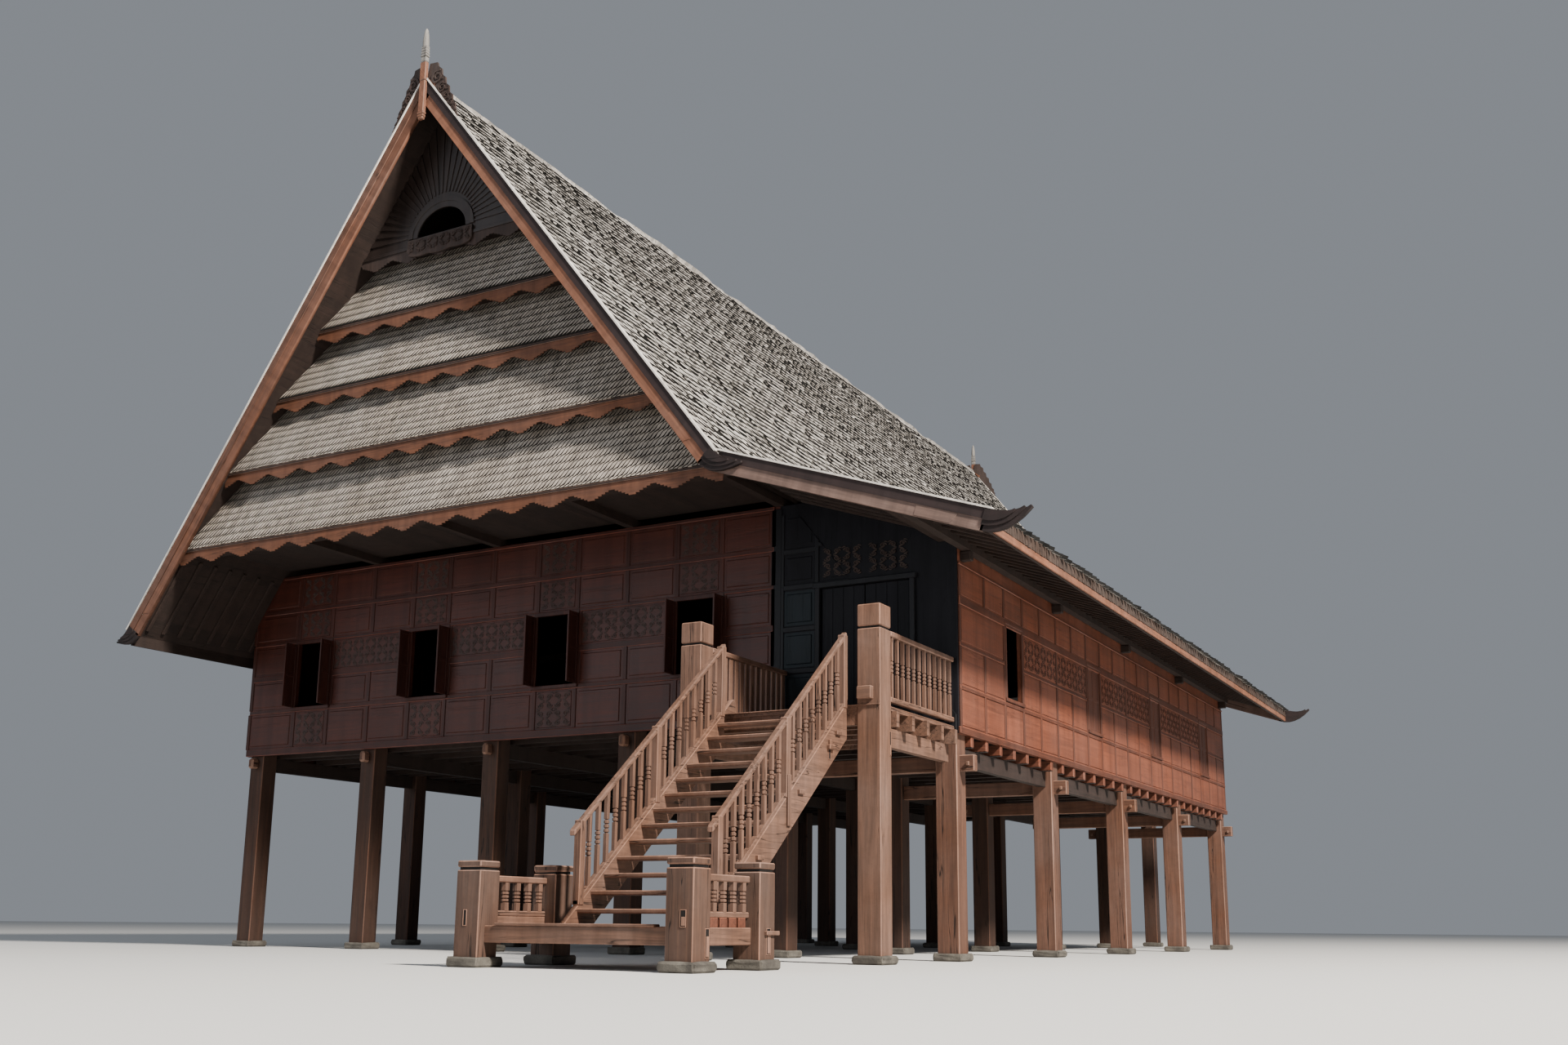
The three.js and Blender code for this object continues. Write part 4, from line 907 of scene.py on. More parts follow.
# --- Windows and doors ------------------------------------------------------------------------------------------

def leaf_of_window(width, height, thickness=0.03):
    """A framed shutter leaf with two panels on each face, standing on the origin."""
    rim = 0.055
    pieces = [
        block((0, -thickness, 0), (rim, 0, height), 0.004),
        block((width - rim, -thickness, 0), (width, 0, height), 0.004),
        block((rim, -thickness, 0), (width - rim, 0, rim), 0.004),
        block((rim, -thickness, height - rim), (width - rim, 0, height), 0.004),
        block((rim, -thickness, 0.48 * height), (width - rim, 0, 0.48 * height + rim), 0.004),
        block((rim - 0.004, -0.7 * thickness, rim - 0.004), (width - rim + 0.004, -0.3 * thickness, height - rim), 0),
    ]
    return coat(joined(pieces), "wall stile")


def front_windows():
    """Casings with their sills and two leaves folded straight out."""
    leaf_piece = leaf_of_window(0.265, HEAD - SILL)
    out = Matrix.Rotation(math.radians(-90), 4, "Z")
    inner = FRONT + 0.05
    for index, centre in enumerate(WINDOWS):
        x0, x1 = centre - HALF_WINDOW, centre + HALF_WINDOW
        parts = [
            block((x0 - 0.06, FRONT - 0.03, SILL - 0.01), (x0, inner, HEAD + 0.01), 0.005),
            block((x1, FRONT - 0.03, SILL - 0.01), (x1 + 0.06, inner, HEAD + 0.01), 0.005),
            block((x0 - 0.07, FRONT - 0.032, HEAD), (x1 + 0.07, inner, HEAD + 0.06), 0.005),
            block((x0 - 0.08, FRONT - 0.05, SILL - 0.055), (x1 + 0.08, inner, SILL), 0.008),
        ]
        parts = [coat(part, "wall stile") for part in parts]
        left = copy_of(leaf_piece, Matrix.Translation((x0 - 0.032, FRONT - 0.005, SILL)) @ out)
        right = flipped(copy_of(leaf_piece, Matrix.Translation((x1 + 0.032, FRONT - 0.005, SILL)) @ out
                                @ Matrix.Diagonal((1, -1, 1, 1))))
        finish(joined(parts + [left, right]), f"window_front_{index + 1}", [f"window_{index + 1}"])
    drop(leaf_piece)


def closed_windows():
    """Casings and paired closed leaves of the other windows; the first one of the aisle stands open."""
    def window(centre, sill, head, half, place, closed, stile):
        pieces = [
            strip((centre - half - 0.05, sill - 0.01), (centre - half, head + 0.01), 0.03),
            strip((centre + half, sill - 0.01), (centre + half + 0.05, head + 0.01), 0.03),
            strip((centre - half - 0.06, head), (centre + half + 0.06, head + 0.05), 0.034),
            strip((centre - half - 0.07, sill - 0.05), (centre + half + 0.07, sill), 0.045),
        ]
        if closed:
            for u0, u1 in ((centre - half, centre - 0.004), (centre + 0.004, centre + half)):
                pieces.append(shifted(leaf_of_window(u1 - u0, head - sill, 0.02), u0, 0.008, sill))
        for piece in pieces:
            coat(piece, stile)
            piece.data.transform(place)
        return pieces
    side = wall_place("right")
    for index in range(4):
        centre = (2.5 + 5 * index) * MODULE
        finish(joined(window(centre, 3.565, 4.62, 0.31, side, index > 0, "side stile")),
               f"window_side_{index + 1}")
    left = wall_place("left")
    pieces = [p for i in range(5) for p in window(-(i + 0.5) * ROW, SILL, HEAD, HALF_WINDOW, left, True, "wall stile")]
    finish(joined(pieces), "windows_left")
    back = wall_place("back")
    pieces = [p for x in WINDOWS for p in window(-x, SILL, HEAD, HALF_WINDOW, back, True, "wall stile")]
    finish(joined(pieces), "windows_back")


def door_leaves():
    """Two leaves of upright planks on battens, each with its rounded heel and wooden pins."""
    for side, inwards in (("left", 1), ("right", -1)):
        low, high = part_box(f"door_leaf_{side}")
        heel_x = low.x + 0.02 if side == "left" else high.x - 0.02
        y = (low.y + high.y) / 2
        z0, z1 = 2.95, 4.97
        meet = high.x if side == "left" else low.x
        width = abs(meet - heel_x)
        pieces = []
        for index in range(4):
            a = heel_x + inwards * width * index / 4
            b = heel_x + inwards * (width * (index + 1) / 4 - 0.0015)
            pieces.append(block((min(a, b), y - 0.02, z0), (max(a, b), y + 0.008, z1), 0.005))
        for z in (3.25, 3.95, 4.65):
            a, b = sorted((heel_x + inwards * 0.02, meet - inwards * 0.01))
            pieces.append(block((a, y + 0.006, z - 0.05), (b, y + 0.02, z + 0.05), 0.004))
        heel = turned([(0.0199, z0), (0.0199, z1)], 12)
        pin = turned([(0.008, 2.9405), (0.008, 4.9745)], 12)
        pieces += [shifted(piece, heel_x, y) for piece in (heel, pin)]
        finish(coat(joined(pieces), "entry panel"), f"door_{side}_planks",
               [f"door_leaf_{side}"], body=f"door_{side}")


# --- Roof -------------------------------------------------------------------------------------------------------

def slope_place(top, foot, y):
    """From a slope's own frame (along, down, out) to the model, with its origin at the top of the slope."""
    down = (foot - top).normalized()
    out = Vector((abs(down.z), 0, abs(down.x))) if down.x > 0 else Vector((-abs(down.z), 0, abs(down.x)))
    return place_of((down.cross(out), down, out), (top.x, y, top.z))


def shingle_field(length, down, courses, width, lift, seed):
    """Courses of split shingles with slanted ends that lie over the course below; four courses are repeated. Their
    butt faces are painted nearly black as shadow.
    """
    slant, sunk = 0.6 * width, 0.02
    exposure = down / courses
    count = math.ceil(length / width)
    bands = []
    for band in range(4):
        one = block((0.003, -0.03, 0.0), (width - 0.003, exposure + 0.01, 0.006), 0)
        edit(one)
        pick(one, lambda co, normal: co.y > 0 and co.z > 0.003, "CORNER")
        bpy.ops.transform.translate(value=(0, 0, lift))
        pick(one, lambda co, normal: co.y > 0 and co.x < 0.5 * width, "CORNER")
        bpy.ops.transform.translate(value=(0, slant, 0))
        done()
        coat(one, "shingle")
        # butt faces, looking down the slope, take the painted shadow finish
        one.data.materials.append(MATERIALS["shingle end painted shadow"])
        for face in one.data.polygons:
            face.material_index = int(face.normal.y > 0.5)
        row_of(one, count, (width, 0, 0))
        roughened(one, 0.02, seed + band, lambda co, normal: co.y > 0)
        roughened(one, 0.004, seed + 9 + band, lambda co, normal: co.y < 0)
        bands.append(shifted(one, (band * 0.29 % 1 - 0.5) * width, band * exposure))
    field = row_of(joined(bands), math.ceil(courses / 4), (0, 4 * exposure, 0))
    wavy(shifted(field, z=-sunk), exposure)
    trimmed(field, (0, 0, 0), (-1, 0, 0))
    return trimmed(field, (length, 0, 0), (1, 0, 0))


def wavy(field, exposure):
    """Lets the courses wander a little up and down the slope, as on a hand-laid roof."""
    for index, (size, reach) in enumerate(((1.3, 0.3), (0.42, 0.2))):
        texture = bpy.data.textures.new(f"course drift {index}", "CLOUDS")
        texture.noise_scale = size
        only(field)
        drift = field.modifiers.new("Drift", "DISPLACE")
        drift.texture = texture
        drift.texture_coords = "LOCAL"
        drift.direction = "Y"
        drift.mid_level = 0.5
        drift.strength = reach * exposure * 2
        bpy.ops.object.modifier_apply(modifier=drift.name)


def roof_shingles(sizes):
    """The three fields of shingles, each starting just behind the front rake board of its slope."""
    span = BACK_RAKE - RAKE - 0.09
    slopes = [
        ("left", RIDGE, LEFT_EAVE, RAKE, span),
        ("right", RIDGE, KINK, RAKE, span),
        ("aisle", KINK, AISLE_EAVE, RAKE + AISLE_SETBACK, AISLE_BACK_RAKE - RAKE - 0.15),
    ]
    for number, (name, top, foot, start, length) in enumerate(slopes, 1):
        down = (foot - top).length
        courses = 4 * round(down / sizes.shingle_course / 4)
        field = shingle_field(length, down, courses, sizes.shingle_width, sizes.shingle_lift, 40 * number)
        field.data.transform(slope_place(top, foot, 0))
        low = min(v.co.y for v in field.data.vertices)
        finish(shifted(field, y=start + 0.04 - low), f"roof_shingles_{name}")


def eaves():
    """Butt ends of the shingles, the fascia below them, and the rafters under the eaves."""
    for name, foot, outwards, y0, y1 in (("aisle", AISLE_EAVE, 1, RAKE + 0.12, AISLE_BACK_RAKE - 0.06),
                                         ("left", LEFT_EAVE, -1, RAKE + 0.06, BACK_RAKE - 0.06)):
        pitch = 0.09
        slat = block((0, 0, foot.z - 0.165), (0.03, 0.084, foot.z - 0.01), 0)
        shifted(slat, foot.x if outwards > 0 else foot.x - 0.03, y0)
        row_of(slat, int((y1 - y0) / pitch), (0, pitch, 0))
        roughened(slat, 0.012, 71 if outwards > 0 else 72, lambda co, normal: True)
        under = moved(slat, -outwards * 0.028, 0.045, 0.0)
        finish(coat(joined([slat, under]), "butts"), f"shingle_ends_{name}")
        a, b = sorted((foot.x, foot.x + outwards * 0.022))
        fascia = block((a, y0, foot.z - 0.262), (b, y1, foot.z - 0.165), 0.005)
        finish(coat(fascia, "fascia"), f"fascia_{name}")
    rafters = []
    first, step = -2.2, 0.3
    for top, foot, inner, count in ((KINK, AISLE_EAVE, 0.25, 58), (RIDGE, LEFT_EAVE, 8.55, 75)):
        length = (foot - top).length
        rafter = block((-0.03, inner, -0.13), (0.03, length - 0.05, -0.093), 0.006)
        rafter.data.transform(slope_place(top, foot, first))
        rafters.append(row_of(rafter, count, (0, step, 0)))
    finish(coat(joined(rafters), "dark x"), "rafters")


def slope_outline(points, top, foot):
    """Points given down a slope and out from it, as X and Z."""
    down = (foot - top).normalized()
    side = 1 if down.x > 0 else -1
    return [(foot.x + down.x * u - side * down.z * v, foot.z + down.z * u + side * down.x * v) for u, v in points]


def curve_points(start, middle, end, steps=6):
    """Points of a plain bow from start to end, pulled towards a middle point."""
    points = []
    for i in range(steps + 1):
        t = i / steps
        a, b, c = (1 - t) ** 2, 2 * t * (1 - t), t * t
        points.append(tuple(a * start[k] + b * middle[k] + c * end[k] for k in (0, 1)))
    return points


def horn(length, rise, depth):
    """The upturned end of a rake board."""
    under = curve_points((-0.03, -depth), (0.62 * length, -1.05 * depth), (length, rise))
    upper = curve_points((0.96 * length, rise + 0.02), (0.72 * length, -0.02 * depth), (-0.03, 0.0))
    return under + upper


def rake_board(name, side, top, foot, y, thickness, curl, replaces):
    """A rake board in two bands under a thin pale edge of painted highlight, with a carved and upturned end of three
    leaves.
    """
    length, rise = curl
    run = (foot - top).length
    face = -1 if y < 5 else 1
    front = y if face < 0 else y - thickness
    def board(points, proud, thick, material):
        piece = outline(slope_outline(points, top, foot), thick)
        return coat(shifted(piece, y=front - proud if face < 0 else front + thickness + proud - thick), material)
    start = -run
    parts = [
        board([(start, -RAKE_DEPTH), (0.0, -RAKE_DEPTH), (0.0, -0.1), (start, -0.1)], 0.0, thickness,
              f"rake {side}"),
        board([(start, -0.125), (0.0, -0.125), (0.0, 0.0), (start, 0.0)], 0.014, thickness, f"band {side}"),
        board([(start, 0.0), (0.05, 0.0), (0.05, 0.022), (start, 0.022)], 0.03, thickness + 0.03, "verge painted highlight"),
        board([(-0.9, -0.262), (-0.9, -0.13), (-0.35, -0.13), (-0.42, -0.262)], 0.006, thickness, f"rake {side}"),
        board(horn(length, rise, RAKE_DEPTH), 0.0, thickness, "rake tip"),
        board(horn(0.86 * length, 0.78 * rise, 0.2), 0.016, thickness, "rake tip"),
        board([(u, v - 0.012) for u, v in horn(0.66 * length, 0.42 * rise, 0.13)], 0.03, thickness, "rake tip"),
    ]
    finish(joined(parts), name, replaces)


def rake_boards():
    sets = [("left", RIDGE, LEFT_EAVE, (0.345, 0.09)), ("right", RIDGE, KINK, (0.45, 0.175)),
            ("aisle", KINK, AISLE_EAVE, (0.51, 0.13))]
    for end in ("front", "back"):
        for side, top, foot, curl in sets:
            y = RAKE if end == "front" else BACK_RAKE
            if side == "aisle":
                y = RAKE + AISLE_SETBACK if end == "front" else AISLE_BACK_RAKE
            rake_board(f"rake_board_{end}_{side}", side, top, foot, y, 0.06, curl, [f"bargeboard_{end}_{side}"])


# --- Gables -----------------------------------------------------------------------------------------------------

def under_roof(z, depth=0.1):
    """Where the undersides of the two slopes are at a height."""
    left = RIDGE.x - (RIDGE.z - depth * math.hypot(1, LEFT_RISE) - z) / LEFT_RISE
    right = RIDGE.x + (RIDGE.z - depth * math.hypot(1, RIGHT_RISE) - z) / RIGHT_RISE
    return left, right


def trimmed_to_roof(piece, depth=0.1):
    """Cuts away what stands above the undersides of the two slopes."""
    level = 8.0
    for x, slant in zip(under_roof(level, depth), (-LEFT_RISE, RIGHT_RISE)):
        trimmed(piece, (x, 0, level), (slant, 0, 1))
    return piece


def tier_place(bottom, inset, height):
    """From a tier's own frame (along, down, out) to the model, with its origin at the top of the tier."""
    down = Vector((0, -LEAN, -height)).normalized()
    out = Vector((0, -height, LEAN)).normalized()
    return place_of((down.cross(out), down, out), (RIDGE.x, RAKE + inset + LEAN, bottom + height))


def stepped_edge(x0, x1, top, depth, pitch=0.672, steps=5):
    """A board whose lower edge hangs in stepped triangles."""
    points = [(x1, top), (x0, top)]
    count = math.ceil((x1 - x0) / pitch)
    first = RIDGE.x - math.ceil((RIDGE.x - x0) / pitch) * pitch
    step = 0.42 * pitch / steps
    for index in range(count + 2):
        centre = first + index * pitch
        profile = []
        for k in range(steps):
            profile += [(centre - (steps - k) * step, k), (centre - (steps - k) * step, k + 1)]
        profile += [(2 * centre - x, k) for x, k in reversed(profile)]
        points += [(x, top - 0.09 - (depth - 0.09) * k / steps) for x, k in profile if x0 < x < x1]
    return points


def hanging_valance(bottom, y, material):
    """The stepped valance that hangs below the foot board of a tier."""
    left, right = under_roof(bottom)
    valance = outline(stepped_edge(left - 0.1, right + 0.1, bottom - 0.022, 0.2), 0.022)
    return trimmed_to_roof(coat(shifted(valance, y=y - 0.004), material))


def tiers(sizes):
    """Shingles with slanted ends, the foot board and the stepped valance of each tier."""
    feet = TIERS + [SUNBURST]
    width = sizes.gable_shingle_width
    lean, cut = 0.045, 0.05
    pieces = []
    for index, (bottom, inset) in enumerate(TIERS):
        top = feet[index + 1][0]
        height = top - bottom - 0.04
        left, right = under_roof(bottom)
        place = tier_place(bottom + 0.04, inset, height)
        run = math.hypot(height, LEAN)
        courses = round(run / sizes.gable_course)
        exposure = run / courses
        reach = max(RIDGE.x - left, right - RIDGE.x) + 0.2
        count = math.ceil(2 * reach / width)
        bands = []
        for band in range(2):
            one = block((0.004, -0.02, 0.0), (width - 0.004, exposure + 0.014, 0.012), 0)
            edit(one)
            pick(one, lambda co, normal: co.y > 0, "CORNER")
            bpy.ops.transform.translate(value=(lean, 0, 0))
            pick(one, lambda co, normal: co.y > 0 and co.z > 0.006, "CORNER")
            bpy.ops.transform.translate(value=(0, 0, 0.018))
            pick(one, lambda co, normal: co.y > 0 and co.x < 0.08, "CORNER")
            bpy.ops.transform.translate(value=(0, -cut, 0))
            done()
            coat(one, "gable shingle")
            # the sides and ends of each gable shingle take the painted shadow finish
            one.data.materials.append(MATERIALS["gable gap painted shadow"])
            for face in one.data.polygons:
                face.material_index = int(face.normal.z < 0.5)
            row_of(one, count, (width, 0, 0))
            roughened(one, 0.0045, 7 * index + band, lambda co, normal: co.y > 0)
            bands.append(shifted(one, -reach - lean + band * width / 2, band * exposure, 0.002))
        field = joined(bands)
        row_of(field, math.ceil(courses / 2), (0, 2 * exposure, 0))
        if courses % 2:
            trimmed(field, (0, run + 0.02, 0), (0, 1, 0))
        field.data.transform(place)
        trimmed_to_roof(field)
        backing = block((-reach, 0, -0.05), (reach, run, 0.003), 0)
        backing.data.transform(place)
        y = RAKE + inset
        shelf = block((left - 0.2, y, bottom), (right + 0.2, y + LEAN + 0.07, bottom + 0.04), 0)
        board = block((left - 0.2, y - 0.022, bottom - 0.022), (right + 0.2, y + 0.012, bottom + 0.016), 0.004)
        # the backing behind the gable shingles is a dark sheet of painted shadow
        parts = [coat(backing, "gable gap painted shadow"), coat(shelf, "dark x"), coat(board, "dark x", "worn edge")]
        for part in parts:
            trimmed_to_roof(part)
        valance = hanging_valance(bottom, y, "valance")
        pieces.append((field, f"gable_front_shingles_{index + 1}", "gable_shingle", ()))
        pieces.append((joined(parts), f"gable_front_boards_{index + 1}", "gable_shingle",
                       [f"gable_front_tier_{index + 1}"]))
        pieces.append((valance, f"gable_front_valance_{index + 1}", "wood_carved", ()))
    return pieces


def oval(reach, height, steps=24):
    """The upper half of an oval round the middle of the sunburst."""
    points = []
    for i in range(steps + 1):
        angle = math.radians(180.0 * i / steps)
        points.append((RIDGE.x + reach * math.cos(angle), BURST_Z + height * math.sin(angle)))
    return points


def arch(outer, inner, thickness, y):
    return shifted(outline(oval(*outer) + oval(*inner)[::-1], thickness), y=y)


def sunburst(unit):
    """The half-round opening with its mouldings, raised rays, carved sill and valance."""
    bottom, inset = SUNBURST
    y = RAKE + inset
    left, right = under_roof(bottom)
    peak_z = RIDGE.z - 0.13
    field = outline([(left, bottom), (right, bottom), (RIDGE.x + 0.01, peak_z)], 0.04, holes=[oval(0.49, 0.41)])
    parts = [shifted(field, y=y)]
    rays = []
    count = 30
    for i in range(count):
        angle = math.radians(3 + 174 * i / (count - 1))
        ray = outline([(0.66, -0.012), (1.9, -0.055), (1.9, 0.055), (0.66, 0.012)], 0.03)
        direction = Matrix.Rotation(-angle, 4, "Y")
        ray.data.transform(Matrix.Translation((RIDGE.x, y - 0.018, BURST_Z)) @ direction)
        rays.append(ray)
    burst = joined(rays)
    trimmed_to_roof(burst)
    trimmed(burst, (0, 0, bottom + 0.1), (0, 0, -1))
    parts.append(burst)
    parts += [arch((0.66, 0.57), (0.58, 0.5), 0.05, y - 0.03), arch((0.58, 0.5), (0.49, 0.41), 0.06, y - 0.015)]
    shelf = block((left - 0.2, y, bottom), (right + 0.2, RAKE + TIERS[3][1] + LEAN + 0.07, bottom + 0.04), 0)
    board = block((left - 0.2, y - 0.022, bottom - 0.022), (right + 0.2, y + 0.012, bottom + 0.03), 0.004)
    parts += [trimmed_to_roof(shelf), trimmed_to_roof(board)]
    whole = coat(joined(parts), "burst")
    half, steps = 0.65, 26
    edge = [(RIDGE.x + half, 10.86), (RIDGE.x - half, 10.86), (RIDGE.x - half, 10.66)]
    for i in range(1, steps):
        t = i / steps
        dip = 10.61 - 0.025 * abs(math.sin(3 * math.pi * t)) - 0.03 * math.sin(math.pi * t)
        edge.append((RIDGE.x - half + 1.3 * t, dip))
    edge.append((RIDGE.x + half, 10.66))
    sill = shifted(outline(edge, 0.04), y=y - 0.05)
    carving = shifted(carved_field(unit, 1.24, 0.2), RIDGE.x, y - 0.05, 10.735)
    valance = hanging_valance(bottom, y, "carving")
    return [
        (whole, "gable_front_rays", "wood_carved", ["gable_front_sunburst"]),
        (coat(joined([sill, carving]), "carving"), "gable_front_sill", "wood_carved", ()),
        (valance, "gable_front_valance_5", "wood_carved", ()),
    ]


def mirrored_to_back(piece):
    return flipped(copy_of(piece, Matrix.Translation((0, RAKE + BACK_RAKE, 0)) @ Matrix.Diagonal((1, -1, 1, 1))))


def gables(unit, sizes):
    for piece, name, slot, replaces in tiers(sizes) + sunburst(unit):
        twin = mirrored_to_back(piece)
        finish(piece, name, replaces)
        back = ["gable_back"] if name == "gable_front_rays" else ()
        finish(twin, name.replace("front", "back"), back)


def crest(side):
    """Openwork of scrolls and leaves that rides on the top of a rake board."""
    foot = LEFT_EAVE if side < 0 else KINK
    down = (foot - RIDGE).normalized()
    parts = []
    back = [(0.03, 0.0), (-0.13, 0.19), (-0.02, 0.3)]
    steps = 11
    for i in range(steps + 1):
        t = i / steps
        height = 0.27 * (1 - t) ** 0.7 + 0.02
        wave = 0.018 * (1 if i % 2 else -1)
        back.append((0.05 + 1.0 * t, height + wave))
    back.append((1.06, 0.0))
    def along(points):
        return [(RIDGE.x + down.x * u + side * -down.z * v, RIDGE.z + down.z * u + side * down.x * v)
                for u, v in points]
    parts.append(outline(along(back), 0.03))
    for u, v, radius, start in ((0.2, 0.15, 0.12, 2.0), (0.43, 0.11, 0.085, 2.2), (0.62, 0.085, 0.065, 2.4),
                                (0.78, 0.065, 0.05, 2.4), (0.91, 0.05, 0.04, 2.4)):
        shape = [(u + x, v + z) for x, z in spiral(radius, 1.6, 22, start, 0.16)]
        parts.append(shifted(outline(along(shape), 0.03), y=-0.02))
    for i in range(9):
        u = 0.09 + 0.11 * i
        lift = 0.23 * (1 - u) ** 0.7
        shape = [(u + x, lift - 0.03 + z) for x, z in leaf(0.13, 0.03, 0.35)]
        parts.append(shifted(outline(along(shape), 0.022), y=-0.014))
    return coat(shifted(joined(parts), y=RAKE + 0.01), "crest")


def peak_ornament():
    """The king piece with its drop, the carved block, the spire and both crests."""
    x, y = RIDGE.x, RAKE - 0.035
    king = [
        block((x - 0.055, y - 0.035, 12.62), (x + 0.055, y + 0.033, 13.155), 0.01),
        block((x - 0.058, y - 0.038, 13.16), (x + 0.058, y + 0.033, 13.47), 0.01),
        block((x - 0.066, y - 0.04, 12.585), (x + 0.066, y + 0.033, 12.625), 0.01),
        block((x - 0.06, y - 0.037, 12.54), (x + 0.06, y + 0.033, 12.58), 0.01),
        block((x - 0.05, y - 0.033, 12.5), (x + 0.05, y + 0.033, 12.545), 0.016),
    ]
    for piece in king:
        coat(piece, "rake right", "worn edge")
    base = [block((x - 0.055, y - 0.04, 13.47), (x + 0.055, y + 0.04, 13.56), 0.014)]
    for i in range(4):
        z = 13.565 + 0.045 * i
        base.append(block((x - 0.06 + 0.004 * i, y - 0.045, z), (x + 0.06 - 0.004 * i, y + 0.045, z + 0.03), 0.01))
        base.append(block((x - 0.045, y - 0.035, z + 0.028), (x + 0.045, y + 0.035, z + 0.05), 0.0))
    spire = turned([(0.045, 13.73), (0.052, 13.78), (0.05, 13.86), (0.04, 13.95), (0.028, 14.02), (0.012, 14.05),
                    (0.002, 14.06)], 10)
    for piece in (*base, shifted(spire, x, y)):
        coat(piece, "spire")
    front = joined(king + base + [spire, crest(-1), crest(1)])
    twin = mirrored_to_back(front)
    finish(front, "peak_carving_front", ["peak_front"])
    finish(twin, "peak_carving_back", ["peak_back"])


# --- Porch, stair and platform ----------------------------------------------------------------------------------

def capped_post(x, y, top, groove, seed, material="pale z"):
    """A squared post on its stone, with a groove below its capped head; the groove is nearly black, a painted shade.
    """
    parts = [
        stone_pad(seed),
        worn((-POST_HALF, -POST_HALF, 0.085), (POST_HALF, POST_HALF, groove + 0.008), 0.01, material),
        coat(block((-0.128, -0.128, groove - 0.01), (0.128, 0.128, groove + 0.05), 0), "painted hole shade"),
        worn((-POST_HALF, -POST_HALF, groove + 0.036), (POST_HALF, POST_HALF, top), 0.012, material),
    ]
    return shifted(joined(parts), x, y)


def mortise(face, at, half, z0, z1, tenon=0.6):
    """The slot of a mortise in a face of a post, drawn as a nearly black plate of painted shade, its worn rim and the
    end of the tenon in it.
    """
    depth = 0.004
    def plate(a, low, b, high, out, material):
        if face == "right":
            piece = block((at[0] - 0.01, at[1] + a, low), (at[0] + out, at[1] + b, high), 0.002)
        else:
            piece = block((at[0] + a, at[1] - out, low), (at[0] + b, at[1] + 0.01, high), 0.002)
        return coat(piece, material)
    parts = [plate(-half, z0, half, z1, depth, "painted hole shade")]
    if tenon:
        parts.append(plate(-0.55 * half, z0 + 0.008, 0.9 * half, z0 + tenon * (z1 - z0), 2 * depth, "worn edge"))
    rim = 0.007
    for a, b, low, high in ((-half - rim, -half, z0 - rim, z1 + rim), (half, half + rim, z0 - rim, z1 + rim),
                            (-half, half, z1, z1 + rim), (-half, half, z0 - rim, z0)):
        parts.append(plate(a, low, b, high, 1.5 * depth, "worn edge"))
    return parts


def baluster(height, thick):
    """A square stick with three turned rings at its middle."""
    h, r, m = height, thick / 2, height / 2
    reach = min(0.075, 0.2 * h)
    parts = [block((-r, -r, 0), (r, r, m - reach), 0.003), block((-r, -r, m + reach), (r, r, h), 0.003)]
    ring = [(0.7 * r, m - reach - 0.002)]
    for k in (-1, 0, 1):
        z = m + 0.62 * k * reach
        ring += [(0.8 * r, z - 0.27 * reach), (1.3 * r, z - 0.17 * reach), (1.3 * r, z + 0.17 * reach),
                 (0.8 * r, z + 0.27 * reach)]
    ring.append((0.7 * r, m + reach + 0.002))
    parts.append(turned(ring))
    return coat(joined(parts), "pale z")


def porch(sizes):
    """The porch posts, the turned rail on the right and the slatted one on the left."""
    y0, y1 = RAKE + 0.3, FRONT
    right = [capped_post(0, RAKE + 0.15, 4.15, 3.85, 1)]
    stick = baluster(0.75, sizes.porch_baluster)
    pitch = (y1 - y0) / 12
    for i in range(12):
        right.append(moved(stick, 0.115, y0 + (i + 0.5) * pitch, 3.06))
    drop(stick)
    right.append(worn((0.075, y0, 3.795), (0.155, y1, 3.86), 0.012, "pale y"))
    right.append(worn((0.08, y0, 3.01), (0.15, y1, 3.07), 0.008, "pale y"))
    stub = roughened(block((-0.12, -2.53, 3.01), (0.06, -2.44, 3.16), 0.008), 0.006, 91)
    right.append(coat(stub, "pale x", "worn edge"))
    right += mortise("right", (0.15, -2.19), 0.018, 2.37, 2.65, 0.45)
    finish(joined(right), "porch_rail_right", ["porch_side_right"])
    left = [capped_post(-2.465, RAKE + 0.15, 4.15, 3.85, 2)]
    pitch = (y1 - y0) / 14
    for i in range(14):
        y = y0 + (i + 0.5) * pitch
        left.append(worn((-2.362, y - 0.045, 3.06), (-2.338, y + 0.045, 3.8), 0.004, "pale z"))
    left.append(worn((-2.385, y0, 3.795), (-2.315, y1, 3.86), 0.01, "pale y"))
    left.append(worn((-2.385, y0, 3.01), (-2.315, y1, 3.07), 0.008, "pale y"))
    finish(joined(left), "porch_rail_left", ["porch_side_left"])
    boards = []
    for i in range(13):
        x = -2.615 + i * 0.2127
        boards.append(worn((x, RAKE - 0.02, 2.942), (x + 0.2087, FRONT, 2.955), 0.003, "pale y"))
    finish(joined(boards), "porch_boards")


# The stair's rise and going, and the nosing of its top tread; it ends just short of the porch
RISE, GOING = 0.187, 0.2235
FIRST_Y, FIRST_Z = -2.61, 2.82
STEEP = RISE / GOING
STAIR_TOP_Y = RAKE - 0.0003


def nosing(y):
    """Height of the line through the nosings at a place along the stair."""
    return FIRST_Z + (y - FIRST_Y) * STEEP


def slanted(x, half, y0, y1, low, high, bevel=0.005):
    """A timber that follows the stair between two lines above the nosings."""
    piece = block((x - half, y0, 0), (x + half, y1, 1), 0)
    edit(piece)
    for test, line in ((lambda co: co.z > 0.5, high), (lambda co: co.z < 0.5, low)):
        for y in (y0, y1):
            pick(piece, lambda co, normal: test(co) and abs(co.y - y) < 0.001, "CORNER")
            base = 1 if line is high else 0
            bpy.ops.transform.translate(value=(0, 0, nosing(y) + line - base))
    bpy.ops.mesh.select_all(action="SELECT")
    bpy.ops.mesh.bevel(offset=bevel, segments=1, affect="EDGES")
    done()
    return piece


